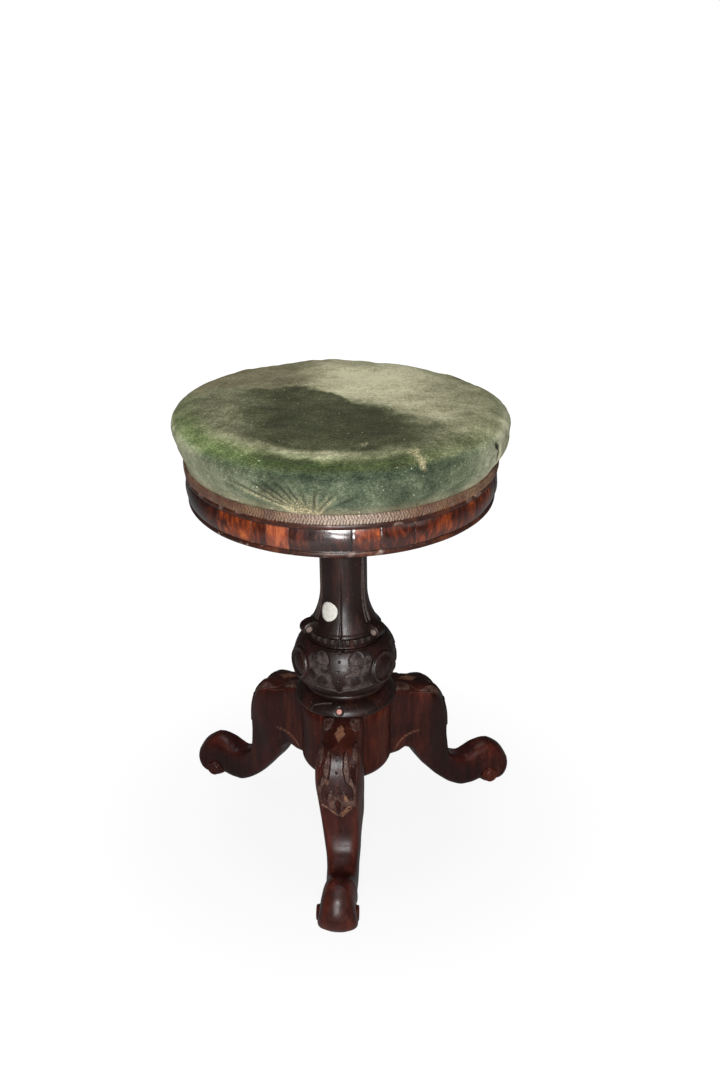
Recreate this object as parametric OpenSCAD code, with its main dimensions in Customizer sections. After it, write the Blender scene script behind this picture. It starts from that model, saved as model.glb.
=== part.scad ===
// Revolving tripod stool: a round stuffed seat turns and rises on an iron screw
// in a turned and carved column, which stands on three scroll legs.
// Units are millimetres. The floor is z = 0 and the column's axis is x = y = 0.
// The front leg points along -Y.

/* [Legs] */
// Radius from the axis to the front of the toe
leg_reach = 216; // [208:1:224]
// Radius from the axis to the face of the knee
knee_r = 124.5; // [116:0.5:130]
// Width of the leg at its root, against the drum
root_w = 46; // [38:1:47]
// Width of the leg across the carved knee
knee_w = 50; // [40:0.5:52]
// Width of the leg at its narrowest, behind the toe
ankle_w = 30.5; // [26:0.5:34]
// Width of the toe where its roll begins
toe_w = 32; // [28:1:34]
// Width of the toe where it stands on the floor
pad_w = 40; // [36:1:41]
// Height of the toe's roll above the floor
toe_h = 54; // [52:1:60]
// Height of the hollow between shin and toe
instep_h = 44; // [42:0.5:50]
// Height of the leg's underside where it meets the drum
root_z = 84.5; // [80:0.5:92]
// Radius of the volute that the toe stands on
volute_r = 12; // [10:0.5:13]
// Distance of the volute's centre behind the front of the toe
volute_back = 30; // [28:1:34]
// Radius of the turned button in the volute
button_r = 7.5; // [5:0.5:8.5]
// Width across both buttons
button_w = 44; // [40:1:48]
// Depth of the dovetail key in the drum
key_depth = 11; // [8:1:13]
// Width of the dovetail key at its neck
key_neck = 16; // [12:1:18]
// Width of the dovetail key at its tail
key_tail = 23; // [20:1:26]

/* [Drum and collar] */
// Radius of the drum
drum_r = 52; // [50:0.5:54]
// Height of the underside of the drum above the floor
drum_z = 77; // [70:1:82]
// Height of the drum's bowl-shaped bottom
bowl_h = 20; // [16:1:26]
// Radius of the flat under the bowl
bowl_flat_r = 20; // [14:1:26]
// Height of the drum with its bowl
drum_h = 98.5; // [92:0.5:102]
// Radius of the collar's lip
collar_r = 57.5; // [56:0.5:60]
// Thickness of the collar
collar_h = 12; // [10:0.5:15]
// Radius of the peg that locks the collar to the tenon
peg_r = 3.5; // [2.5:0.25:4]
// Radius of the column's tenon
tenon_r = 22; // [18:1:24]
// Length of the tenon below the collar
tenon_len = 55; // [40:1:70]

/* [Column] */
// Radius of the torus at the foot of the bulb
torus_r = 46.3; // [44:0.1:48]
// Height of the torus with its fillets
torus_h = 10.5; // [9:0.5:14]
// Largest radius of the bulb
bulb_r = 59; // [57:0.5:61]
// Radius of the bulb's profile
bulb_round = 42; // [39:1:45]
// Height of the bulb
bulb_h = 57; // [52:1:60]
// Radius of the bead course above the bulb
course_r = 41.6; // [39.5:0.1:43]
// Height of the bead course
course_h = 10.5; // [8:0.5:12]
// Radius of the neck at its thinnest
neck_r = 26.1; // [25:0.1:28]
// Height of the flare from the lappets' tips to the neck
flare_h = 46.5; // [42:0.5:52]
// Radius of the flare at the lappets' tips
lappet_r = 39.8; // [38:0.1:41]
// Height of the straight neck up to its astragal
neck_h = 48; // [40:1:60]
// Height from the astragal to the column's top
head_h = 50; // [46:1:60]
// Radius of the turned cap at the column's top
cap_r = 33; // [30:0.5:36]
// Thickness of the cap's edge
cap_h = 14; // [10:1:18]
// Radius of the rim of a cabochon
cabochon_r = 17; // [14:0.5:18]
// Height of a cabochon's rim above the bulb
cabochon_h = 2.3; // [1.5:0.1:3]
// Radius of a scroll ear's roll
ear_r = 7.5; // [6.5:0.5:8.5]
// Width of a scroll ear
ear_w = 18; // [14:1:22]

/* [Screw] */
// Radius of the iron screw spindle
spindle_r = 11; // [9:0.5:12]
// Rise of the seat from its lowest to its highest place
rise = 96; // [70:1:100]
// Length of the nut that is let into the column
nut_h = 32; // [26:1:36]
// Radius of the nut's barrel
nut_r = 16; // [14.5:0.5:17]
// Radius of the nut's flange
flange_r = 25; // [24:0.5:27]
// Thickness of the nut's flange
flange_h = 3; // [2:0.5:4]
// Radius of the leather washer
washer_r = 21; // [18:0.5:23]
// Thickness of the leather washer
washer_h = 3.4; // [2:0.2:5]
// Radius of the hub of the seat plate
hub_r = 19; // [16:0.5:22]
// Height of the hub below the plate's arms
hub_h = 13; // [10:1:16]
// Reach of the plate's arms from the axis
arm_reach = 72; // [60:1:90]
// Width of the plate's arms
arm_w = 22; // [18:1:28]
// Thickness of the plate's arms
arm_h = 6; // [5:0.5:8]
// Radius of the shank of a screw that holds the plate
plate_screw_r = 2.2; // [1.5:0.1:2.5]
// Length of a screw that holds the plate
plate_screw_len = 18; // [12:1:22]
// Radius of the shank of a screw that holds the nut
nut_screw_r = 1.7; // [1.2:0.1:1.9]
// Length of a screw that holds the nut
nut_screw_len = 14; // [10:1:20]

/* [Seat frame] */
// Thickness of the seat board
board_h = 22; // [19:1:25]
// Radius of the rim core under the veneer
core_r = 159; // [156:0.5:162]
// Thickness of the rim core's wall
core_wall = 19; // [13:1:28]
// Swell of the core's face
core_swell = 2.6; // [1.5:0.1:3.5]
// Thickness of the crossbanded veneer
veneer_h = 2.4; // [1.5:0.1:3]
// Height of the veneered band
band_h = 24; // [20:1:28]
// Number of veneer pieces round the rim
veneer_count = 14; // [8:1:20]
// Height of the beads above and below the band
bead_h = 6; // [5:0.5:7]
// How far a bead stands out from what carries it
bead_out = 3.6; // [2.5:0.1:4.5]
// Height of the tacking rail
rail_h = 18; // [16:1:22]
// Width of the tacking rail
rail_w = 38; // [28:1:48]

/* [Upholstery] */
// Radius of the cushion at its widest
brow_r = 175.5; // [171:0.5:180]
// Height from the bottom of the cover to the widest place
brow_h = 47; // [42:1:54]
// Height from the widest place to the top of the crown
crown_h = 21; // [18:0.5:30]
// Thickness of the velvet cover
velvet_h = 1.2; // [0.8:0.1:1.6]
// Thickness of the linen undercover
linen_h = 0.8; // [0.6:0.1:1]
// Height of the gimp braid
braid_h = 10; // [8:0.5:13]
// Thickness of the gimp braid
braid_t = 1.6; // [1:0.1:2.2]
// Number of tacks that hold the cover
tack_count = 28; // [16:2:36]
// Radius of a tack's head
tack_r = 3; // [2:0.25:3.75]

/* [Fits] */
// Running clearance on the radius of the spindle
run_gap = 0.05; // [0.02:0.01:0.09]
// Gap in glued and seated joints
glue_gap = 0.05; // [0.03:0.01:0.08]
// Gap between faces that turn on each other
face_gap = 0.3; // [0.25:0.05:0.4]

/* [Hidden] */
$fn = 96;
LEG_ANGLES = [-90, 151.5, 27.5];
EAR_ANGLES = [-153.5, -33.5, 86.5];
RING_SIDES = 20;
RING_STEPS = 2;
ARC_STEPS = 8;
EPS = 0.01;

// Levels, from the floor up
drum_top = drum_z + drum_h;
collar_top = drum_top + collar_h;
torus_top = collar_top + torus_h;
bulb_top = torus_top + bulb_h;
course_top = bulb_top + course_h;
flare_top = course_top + flare_h;
astragal_z = flare_top + neck_h;
column_top = astragal_z + head_h;
washer_z = column_top + face_gap;
hub_z = washer_z + washer_h + face_gap;
arm_z = hub_z + hub_h;
board_z = arm_z + arm_h;
board_top = board_z + board_h;
band_z = board_top - band_h;
cover_z = board_top + bead_h;
board_r = core_r - core_wall;
rail_r = core_r + 1.6;
linen_r = rail_r + linen_h + glue_gap;
velvet_r = linen_r + velvet_h + glue_gap;
braid_r = velvet_r + 0.8;
brow_z = cover_z + brow_h;
crown_z = brow_z + crown_h;
spindle_len = board_z - column_top + nut_h + rise + 26;
bore_r = spindle_r + 2;
bore_z = board_z - spindle_len - 10;
root_in = sqrt(pow(drum_r, 2) - pow(root_w / 2, 2)) - 0.8;
bulb_mid = torus_top + 0.46 * bulb_h;
peg_z = drum_top + 0.58 * collar_h;
// The knees lie a little below the drum's top
crest_z = drum_top - 3.5;
// Longer than any cut has to be
far = crown_z;

// ---------- helpers ----------

// Points of an arc about [x, y] from angle a to angle b
function arc(x, y, r, a, b, n = ARC_STEPS) =
    [for (i = [0:n]) let (t = a + (b - a) * i / n) [x + r * cos(t), y + r * sin(t)]];

// Points of a quarter of an ellipse about [x, y], from angle a to angle b
function oval(x, y, rx, ry, a, b, n = ARC_STEPS) =
    [for (i = [0:n]) let (t = a + (b - a) * i / n) [x + rx * cos(t), y + ry * sin(t)]];

// A power that keeps the sign, for rounded rectangles
function signed_pow(v, p) = v == 0 ? 0 : sign(v) * pow(abs(v), p);

// One point or row on a smooth curve through b and c
function smooth(a, b, c, d, t) =
    0.5 * (2 * b + (c - a) * t + (2 * a - 5 * b + 4 * c - d) * t * t
    + (3 * b - a - 3 * c + d) * t * t * t);

// A smooth curve through all rows of s, with n steps between two rows
function curve(s, n) = concat(
    [for (i = [0:len(s) - 2]) for (k = [0:n - 1])
        smooth(s[max(i - 1, 0)], s[i], s[i + 1], s[min(i + 2, len(s) - 1)], k / n)],
    [s[len(s) - 1]]);

// The outline moved inwards by d, square to itself, where it runs outwards and up
function inset(p, d) = [for (i = [0:len(p) - 1])
    let (a = p[max(i - 1, 0)], b = p[min(i + 1, len(p) - 1)], v = b - a, l = norm(v))
    i == 0 ? [p[0][0] - d, p[0][1]]
    : i == len(p) - 1 ? [0, p[i][1] - d]
    : [p[i][0] - d * v[1] / l, p[i][1] + d * v[0] / l]];

module turned(points) {
    rotate_extrude() polygon(points);
}

// ---------- legs ----------

// Rows of: outer r, outer z, inner r, inner z, half width, squareness
function leg_rows() = let (
    top = drum_top - 4 * glue_gap, knee = crest_z - 4 * glue_gap,
    w0 = root_w / 2, wk = knee_w / 2, wa = ankle_w / 2, wt = toe_w / 2, wp = pad_w / 2) [
    [root_in, top, root_in, root_z, w0, 9],
    [drum_r + 4, top, drum_r + 5, root_z, w0, 7],
    [knee_r - 42, knee - 2.5, drum_r + 16, root_z + 1, w0 + 1, 4],
    [knee_r - 21, knee - 8, knee_r - 45, root_z - 6.5, wk + 1, 4],
    [knee_r - 8, knee - 22, knee_r - 38, root_z - 19, wk + 0.4, 4.4],
    [knee_r - 2, knee - 39, knee_r - 31, root_z - 30, wk - 1.8, 4.6],
    [knee_r, knee - 59, knee_r - 22, root_z - 41, wk - 3.6, 4.6],
    [knee_r + 0.5, knee - 79, knee_r - 12, root_z - 53.5, (wk + wa) / 2 - 0.3, 4.4],
    [knee_r + 4, instep_h + 22, knee_r - 1, 20.5, wa + 2.8, 4.2],
    [knee_r + 12, instep_h + 8, knee_r + 10, 11.5, wa + 2, 4],
    [leg_reach - 64, instep_h, leg_reach - 69, 4, wa + 1.4, 3.6],
    [leg_reach - 53, instep_h + 3.5, leg_reach - 60, 2, wa + 1.4, 3.2],
    [leg_reach - 42, toe_h - 1.5, leg_reach - 51, 1, wt + 0.8, 2.6],
    [leg_reach - 27, toe_h, leg_reach - 44, 1, wt + 1, 2.3],
    [leg_reach - 12, toe_h - 8, leg_reach - 38, 1.5, wt + 1, 2.3],
    [leg_reach - 3.5, toe_h - 20, leg_reach - 34, 2, (wt + wp) / 2, 2.3],
    [leg_reach - 0.5, toe_h - 31, leg_reach - 31, 2, wp - 0.5, 2.4],
    [leg_reach - 3.5, toe_h - 43, leg_reach - 29, 1.6, wp + 0.5, 2.4],
    [leg_reach - 10, toe_h - 51.5, leg_reach - 27, 1.2, wp - 2, 2.4]];

function leg_ring(s) = let (
    r = (s[0] + s[2]) / 2, z = (s[1] + s[3]) / 2,
    hr = (s[0] - s[2]) / 2, hz = (s[1] - s[3]) / 2)
    [for (j = [0:RING_SIDES - 1])
        let (a = 360 * j / RING_SIDES,
             u = signed_pow(cos(a), 2 / s[5]), v = signed_pow(sin(a), 2 / s[5]))
        [r + hr * u, s[4] * v, z + hz * u]];

module leg_form() {
    rows = curve(leg_rows(), RING_STEPS);
    count = len(rows);
    points = [for (s = rows) for (p = leg_ring(s)) p];
    sides = [for (i = [0:count - 2]) for (j = [0:RING_SIDES - 1])
        let (a = i * RING_SIDES + j, b = i * RING_SIDES + (j + 1) % RING_SIDES)
        each [[a, b, b + RING_SIDES], [a, b + RING_SIDES, a + RING_SIDES]]];
    root = [for (j = [RING_SIDES - 1:-1:0]) j];
    tip = [for (j = [0:RING_SIDES - 1]) (count - 1) * RING_SIDES + j];
    polyhedron(points, concat([root], sides, [tip]));
}

// The dovetail's outline in plan, grown by g
module key_outline(g) {
    neck = key_neck / 2 + g;
    tail = key_tail / 2 + g;
    polygon([[root_in + 1.5, -neck], [root_in + 1.5, neck],
        [root_in - key_depth - g, tail], [root_in - key_depth - g, -tail]]);
}

// Lies along the radius: a cylinder across the leg at [r, z]
module across(r, z, radius, width) {
    translate([r, width / 2, z]) rotate([90, 0, 0]) cylinder(r = radius, h = width);
}

module leg(angle) {
    volute_at = leg_reach - volute_back;
    color("saddlebrown") rotate([0, 0, angle]) {
        leg_form();
        translate([0, 0, root_z + 4]) linear_extrude(drum_top - glue_gap - root_z - 4)
            key_outline(0);
        difference() {
            union() {
                across(volute_at, volute_r - 1, volute_r, pad_w + 1);
                across(volute_at, volute_r - 1, button_r, button_w);
            }
            translate([volute_at - far / 2, -far / 2, -far]) cube([far, far, far]);
        }
    }
}

// ---------- drum and collar ----------

module drum() {
    color("sienna") difference() {
        turned(concat([[0, drum_z]],
            oval(bowl_flat_r, drum_z + bowl_h, drum_r - bowl_flat_r, bowl_h, -90, 0),
            [[drum_r, drum_top], [0, drum_top]]));
        translate([0, 0, drum_top - tenon_len - 1]) cylinder(r = tenon_r + glue_gap, h = far);
        for (angle = LEG_ANGLES) rotate([0, 0, angle]) {
            translate([root_in - glue_gap, -root_w / 2 - glue_gap, root_z - glue_gap])
                cube([far, root_w + 2 * glue_gap, far]);
            translate([0, 0, root_z + 4 - glue_gap]) linear_extrude(far) key_outline(glue_gap);
        }
    }
}

// The peg lies along the front radius, grown by g
module peg_form(g) {
    rotate([0, 0, -90]) translate([tenon_r - 8 - g, 0, peg_z]) rotate([0, 90, 0])
        cylinder(r = peg_r + g, h = collar_r - 2.5 - tenon_r + 8 + g);
}

module peg_hole() {
    rotate([0, 0, -90]) translate([tenon_r - 8 - glue_gap, 0, peg_z]) rotate([0, 90, 0])
        cylinder(r = peg_r + glue_gap, h = far);
}

module collar() {
    inner = tenon_r + glue_gap;
    color("#2a1512") difference() {
        turned(concat([[inner, drum_top], [collar_r, drum_top], [collar_r, drum_top + 2]],
            oval(torus_r - 3, drum_top + 2, collar_r - torus_r + 3, collar_h - 2, 15, 90),
            [[inner, collar_top]]));
        peg_hole();
    }
}

module collar_peg() {
    color("rosybrown") peg_form(0);
}

// ---------- column ----------

// The outside of the column from the collar up to its cap, grown by g
function column_outline(g) = let (
    torus_mid = collar_top + torus_h * 0.55, torus_round = torus_h * 0.32,
    bulb_axis = bulb_r - bulb_round,
    low = -asin((bulb_mid - torus_top) / bulb_round),
    high = asin((bulb_top - bulb_mid) / bulb_round),
    flare_round = (pow(flare_h, 2) + pow(lappet_r - neck_r, 2)) / (2 * (lappet_r - neck_r)),
    flare_turn = asin(flare_h / flare_round)) concat(
    [[torus_r - 3 + g, collar_top], [torus_r - 4 + g, torus_mid - torus_round]],
    arc(torus_r - torus_round + g, torus_mid, torus_round, -80, 80),
    arc(bulb_axis + g, bulb_mid, bulb_round, low, high, 14),
    [[course_r + g, bulb_top], [course_r + g, course_top], [lappet_r + g, course_top + 0.5]],
    arc(neck_r + flare_round + g, flare_top, flare_round, 180 + flare_turn - 1, 180),
    [[neck_r + g, astragal_z - 2.5]],
    arc(neck_r + g, astragal_z, 2.5, -90, 90),
    [[neck_r + g, column_top - cap_h - 8]],
    oval(cap_r + g, column_top - cap_h - 8, cap_r - neck_r, 8, 180, 90, 4),
    arc(cap_r - 2 + g, column_top - 2, 2, 0, 90, 3));

// A dished cabochon whose rim stands on the bulb, along +X
module cabochon() {
    seat = bulb_r - 10;
    rim = bulb_r + cabochon_h - 2;
    translate([0, 0, bulb_mid + 3]) rotate([0, 90, 0]) rotate_extrude() polygon(concat(
        [[0, seat], [cabochon_r, seat], [cabochon_r, rim - 2]],
        arc(cabochon_r - 2.2, rim - 0.2, 2.2, 0, 165),
        arc(0, rim + 15.2, 19, -50, -90)));
}

module column() {
    color("#2a1512") difference() {
        union() {
            turned(concat([[0, drum_top - tenon_len], [tenon_r, drum_top - tenon_len],
                [tenon_r, collar_top]], column_outline(0), [[0, column_top]]));
            for (angle = EAR_ANGLES) rotate([0, 0, angle]) cabochon();
        }
        translate([0, 0, bore_z]) cylinder(r = bore_r, h = far);
        translate([0, 0, column_top - nut_h - glue_gap]) cylinder(r = nut_r + glue_gap, h = far);
        translate([0, 0, column_top - flange_h - glue_gap])
            cylinder(r = flange_r + glue_gap, h = far);
        at_nut_screws() screw_hole(nut_screw_r, nut_screw_len);
        peg_hole();
    }
}

// A scroll ear: two rolls that stand against the foot of the flare, with a button each side
module scroll_ear(angle) {
    low_at = [lappet_r + 3.5, course_top + 5];
    top_at = [lappet_r - 1, course_top + 12.5];
    inner = [lappet_r - neck_r, 0];
    color("#2a1512") rotate([0, 0, angle]) difference() {
        union() {
            translate([0, ear_w / 2, 0]) rotate([90, 0, 0]) linear_extrude(ear_w) {
                translate(low_at) circle(ear_r);
                translate(top_at) circle(ear_r * 0.8);
                polygon([low_at - inner, top_at - inner, top_at, low_at]);
            }
            across(low_at[0], low_at[1], 3.8, ear_w + 3);
        }
        turned(concat([[0, collar_top]], column_outline(glue_gap), [[0, column_top]]));
    }
}

// ---------- screw ----------

// A countersunk wood screw, head up, with its face at z = 0
module wood_screw(r, length) {
    translate([0, 0, -length]) cylinder(r = r, h = length);
    translate([0, 0, -r]) cylinder(r1 = r, r2 = 2 * r, h = r);
}

// The hole that such a screw fills
module screw_hole(r, length) {
    translate([0, 0, -length - glue_gap]) cylinder(r = r + glue_gap, h = length + 2);
    translate([0, 0, -r]) cylinder(r1 = r + glue_gap, r2 = 2 * r + glue_gap, h = r + EPS);
    cylinder(r = 2 * r + glue_gap, h = 2);
}

// Places its children at the screws of the nut
module at_nut_screws() {
    for (i = [0:2]) rotate([0, 0, 30 + 120 * i])
        translate([(flange_r + nut_r) / 2, 0, column_top]) children();
}

module column_nut() {
    color("#4a4a4c") difference() {
        union() {
            translate([0, 0, column_top - nut_h]) cylinder(r = nut_r, h = nut_h);
            translate([0, 0, column_top - flange_h]) cylinder(r = flange_r, h = flange_h);
        }
        translate([0, 0, column_top - nut_h - 1]) cylinder(r = spindle_r + run_gap, h = far);
        at_nut_screws() screw_hole(nut_screw_r, nut_screw_len);
    }
}

module nut_screws() {
    color("#5c5c60") at_nut_screws() wood_screw(nut_screw_r, nut_screw_len);
}

module leather_washer() {
    color("peru") translate([0, 0, washer_z]) difference() {
        cylinder(r = washer_r, h = washer_h);
        translate([0, 0, -1]) cylinder(r = spindle_r + run_gap, h = washer_h + 2);
    }
}

module screw_spindle() {
    color("#55555a") translate([0, 0, board_z - spindle_len]) cylinder(r = spindle_r, h = spindle_len);
}

// Places its children at the screws of the plate, head down
module at_plate_screws() {
    for (i = [0:3]) for (at = [hub_r + 12, arm_reach - 10]) rotate([0, 0, 45 + 90 * i])
        translate([at, 0, arm_z]) rotate([180, 0, 0]) children();
}

module seat_plate() {
    color("#3c3c3e") difference() {
        union() {
            translate([0, 0, hub_z]) cylinder(r = hub_r, h = hub_h + arm_h);
            for (i = [0:3]) rotate([0, 0, 45 + 90 * i]) {
                translate([0, -arm_w / 2, arm_z]) cube([arm_reach - arm_w / 2, arm_w, arm_h]);
                translate([arm_reach - arm_w / 2, 0, arm_z]) cylinder(r = arm_w / 2, h = arm_h);
            }
        }
        translate([0, 0, hub_z - 1]) cylinder(r = spindle_r + glue_gap, h = far);
        at_plate_screws() screw_hole(plate_screw_r, plate_screw_len);
    }
}

module plate_screws() {
    color("#5c5c60") at_plate_screws() wood_screw(plate_screw_r, plate_screw_len);
}

// ---------- seat frame ----------

module seat_board() {
    color("burlywood") difference() {
        translate([0, 0, board_z]) cylinder(r = board_r, h = board_h);
        at_plate_screws() screw_hole(plate_screw_r, plate_screw_len);
    }
}

// The swelling face of the rim's band, grown by g, from bottom to top
function band_face(g) = let (half = band_h / 2,
    round = (half * half + core_swell * core_swell) / (2 * core_swell),
    turn = asin((half - glue_gap) / (round + g)))
    arc(core_r + core_swell - round, band_z + half, round + g, -turn, turn);

module rim_core() {
    inner = board_r + glue_gap;
    foot = core_r - 0.4;
    low = band_z - bead_h + 2;
    color("tan") turned(concat([[inner, low], [foot, low], [foot, band_z]],
        band_face(0), [[inner, board_top]]));
}

module rim_veneers() {
    step = 360 / veneer_count;
    outer = band_face(veneer_h);
    shape = concat(band_face(glue_gap), [for (i = [ARC_STEPS:-1:0]) outer[i]]);
    color("#8a3318") for (i = [0:veneer_count - 1]) rotate([0, 0, i * step])
        rotate_extrude(angle = step - 0.04) polygon(shape);
}

// A half-round bead that stands on a wall of radius r, from z upwards
module bead(r, z) {
    turned(concat([[r, z + EPS], [r + bead_out / 2, z + EPS]],
        oval(r + bead_out / 2, z + bead_h / 2, bead_out / 2, bead_h / 2 - EPS, -90, 90),
        [[r, z + bead_h - EPS]]));
}

module rim_bottom_bead() {
    color("#5a2413") bead(core_r - 0.4 + glue_gap, band_z - bead_h);
}

module rim_top_bead() {
    color("#5a2413") bead(rail_r + glue_gap, board_top);
}

module tacking_rail() {
    color("tan") translate([0, 0, board_top]) difference() {
        cylinder(r = rail_r, h = rail_h);
        translate([0, 0, -1]) cylinder(r = rail_r - rail_w, h = rail_h + 2);
    }
}

// ---------- upholstery ----------

// The outside of the velvet cover, from its lower edge up to the crown
cushion_line = concat([[velvet_r, cover_z]], curve([
    [velvet_r + 0.3, cover_z + braid_h],
    [velvet_r + 6, cover_z + braid_h + 14], [brow_r - 4, brow_z - 13], [brow_r, brow_z],
    [brow_r - 5, brow_z + crown_h * 0.42], [brow_r - 22, brow_z + crown_h * 0.72],
    [brow_r * 0.62, brow_z + crown_h * 0.92], [brow_r * 0.3, brow_z + crown_h],
    [0, crown_z]], 3));

// A cloth skin between two depths below the outside
module skin(outer, inner) {
    a = inset(cushion_line, outer);
    b = inset(cushion_line, inner);
    turned(concat(a, [for (i = [len(b) - 1:-1:0]) b[i]]));
}

module velvet_cover() {
    color("olivedrab") skin(0, velvet_h);
}

module linen_undercover() {
    color("linen") skin(velvet_h + glue_gap, velvet_h + glue_gap + linen_h);
}

module horsehair_pad() {
    depth = velvet_h + linen_h + 2 * glue_gap;
    top = [for (p = inset(cushion_line, depth)) if (p[1] > board_top + rail_h + 1) p];
    inner = rail_r - rail_w - glue_gap;
    color("dimgray") turned(concat([[0, board_top + glue_gap], [inner, board_top + glue_gap],
        [inner, board_top + rail_h + glue_gap], [rail_r, board_top + rail_h + glue_gap]], top));
}

module cover_tacks() {
    z = cover_z + braid_h / 2;
    color("#44444a") for (i = [0:tack_count - 1]) rotate([0, 0, 360 * i / tack_count])
        translate([rail_r - 9, 0, z]) rotate([0, 90, 0]) {
            cylinder(r = 0.8, h = 9 + velvet_r - rail_r + 0.3);
            translate([0, 0, 9 + velvet_r - rail_r + 0.1]) cylinder(r = tack_r, h = 0.5);
        }
}

module gimp_braid() {
    color("darkkhaki") turned([[braid_r, cover_z + 0.1], [braid_r + braid_t, cover_z + 1],
        [braid_r + braid_t, cover_z + braid_h - 1], [braid_r, cover_z + braid_h - 0.1]]);
}

// ---------- output ----------

leg(LEG_ANGLES[0]);  // leg_front
leg(LEG_ANGLES[1]);  // leg_left
leg(LEG_ANGLES[2]);  // leg_right
drum();
collar();
collar_peg();
column();
scroll_ear(EAR_ANGLES[0]);  // scroll_ear_left
scroll_ear(EAR_ANGLES[1]);  // scroll_ear_right
scroll_ear(EAR_ANGLES[2]);  // scroll_ear_rear
column_nut();
nut_screws();
leather_washer();
screw_spindle();
seat_plate();
plate_screws();
seat_board();
rim_core();
rim_bottom_bead();
rim_veneers();
rim_top_bead();
tacking_rail();
horsehair_pad();
linen_undercover();
velvet_cover();
cover_tacks();
gimp_braid();
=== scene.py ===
"""Dresses the revolving piano stool: carved base, turned column, screw, veneered rim and seat."""

import logging
import math
from dataclasses import dataclass, field
from enum import Enum
from typing import Sequence

import bmesh
import bpy
import numpy as np
from mathutils import Matrix, Vector


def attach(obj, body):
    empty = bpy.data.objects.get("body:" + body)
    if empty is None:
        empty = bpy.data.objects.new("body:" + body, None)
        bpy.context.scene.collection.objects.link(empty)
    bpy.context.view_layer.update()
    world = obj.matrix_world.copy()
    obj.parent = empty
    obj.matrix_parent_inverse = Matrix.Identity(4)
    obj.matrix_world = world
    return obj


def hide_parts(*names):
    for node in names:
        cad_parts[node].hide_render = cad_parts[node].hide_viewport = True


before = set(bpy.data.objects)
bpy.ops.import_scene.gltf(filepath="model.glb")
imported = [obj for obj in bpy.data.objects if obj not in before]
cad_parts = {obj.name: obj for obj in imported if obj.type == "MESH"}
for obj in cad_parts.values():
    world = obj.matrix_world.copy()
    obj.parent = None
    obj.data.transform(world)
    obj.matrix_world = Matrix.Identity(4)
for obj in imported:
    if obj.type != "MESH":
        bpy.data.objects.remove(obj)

MM = 0.001
log = logging.getLogger("piano_stool")

Array = np.ndarray
Point = tuple[float, float]
Outline = tuple[Point, ...]
Place = tuple[float, float, float]
Colour = tuple[float, float, float]
Stops = tuple[tuple[float, Colour], ...]
Socket = bpy.types.NodeSocket
Piece = bpy.types.Object
Mesh = bmesh.types.BMesh
Material = bpy.types.Material
Line = Sequence[Point] | np.ndarray
FULL_TURN = 2 * math.pi


class Body(Enum):
    """The bodies of the stool that pieces ride on."""

    BASE = "base"
    LIFT = "lift"
    SEAT = "seat"


# ---- drawing helpers


def smoothstep(value: Array, low: float, high: float) -> Array:
    """Rises smoothly from 0 at low to 1 at high, or falls where high lies below low."""
    t = np.clip((value - low) / (high - low), 0, 1)
    return t * t * (3 - 2 * t)


def bell(value: Array, width: float) -> Array:
    """A bell of height 1 about zero that has gone to nothing at twice the width."""
    return np.exp(-((value / width) ** 2))


def sweep(points: Line, steps: int = 8) -> Array:
    """Draws a smooth line through a few points.

    Args:
        points: The points that the line passes through.
        steps: How many pieces each stretch is cut into.

    Returns:
        The line's points, one row each.
    """
    p = np.array(points, float)
    out = []
    for i in range(len(p) - 1):
        a, b, c, d = p[max(i - 1, 0)], p[i], p[i + 1], p[min(i + 2, len(p) - 1)]
        for k in range(steps):
            t = k / steps
            out.append(0.5 * (2 * b + (c - a) * t + (2 * a - 5 * b + 4 * c - d) * t * t
                              + (3 * b - a - 3 * c + d) * t ** 3))
    out.append(p[-1])
    return np.array(out)


def arc(x: float, y: float, rx: float, ry: float, start: float, end: float,
        steps: int = 16) -> list[Point]:
    """Points along part of an ellipse about (x, y), from start to end in degrees."""
    angles = np.radians(np.linspace(start, end, steps + 1))
    return [(x + rx * math.cos(a), y + ry * math.sin(a)) for a in angles]


def running(line: Array) -> Array:
    """How far along a line each of its points lies."""
    return np.r_[0, np.cumsum(np.linalg.norm(np.diff(line, axis=0), axis=1))]


def resample(line: Array, lengths: Array) -> Array:
    """Points at given distances along a line, one for each distance."""
    run = running(line)
    return np.stack([np.interp(lengths, run, line[:, k]) for k in range(line.shape[1])], -1)


def ripple(points: Array, pitch: float, seed: int, waves: int = 7) -> Array:
    """A smooth uneven field, for hand work and wear.

    Args:
        points: Where to read it, three numbers to a point.
        pitch: About how far apart its swells are.
        seed: Which field it is.
        waves: How many waves it is summed from.

    Returns:
        Numbers about zero that seldom pass 1.
    """
    rng = np.random.default_rng(seed)
    total = np.zeros(points.shape[:-1])
    for _ in range(waves):
        way = rng.normal(size=3)
        way *= rng.uniform(0.7, 1.6) * 2 * math.pi / (pitch * np.linalg.norm(way))
        total += np.sin(points @ way + rng.uniform(0, 2 * math.pi))
    return total / math.sqrt(waves)


def signed(angle: Array) -> Array:
    """Brings angles in degrees between -180 and 180."""
    return (angle + 180) % 360 - 180


def about(turn: Array, at: float, width: float) -> Array:
    """A bell of height 1 about one direction, all in degrees."""
    return bell(signed(turn - at), width)


def span(angle: Array, radius: float | Array) -> Array:
    """How long an arc of some degrees is at a radius."""
    return angle * math.radians(1) * radius


def stroke(points: Line, steps: int = 8) -> Array:
    """A smooth line through points given in millimetres, in metres."""
    return sweep(points, steps) * MM


def shape(points: Line, steps: int = 6) -> Array:
    """A smooth closed outline through points given in millimetres, in metres."""
    return sweep([*points, points[0]], steps)[:-1] * MM


def turn_about_z(degrees: float) -> Matrix:
    """A turn about the upright axis."""
    return Matrix.Rotation(math.radians(degrees), 4, "Z")


# ---- carving


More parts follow.
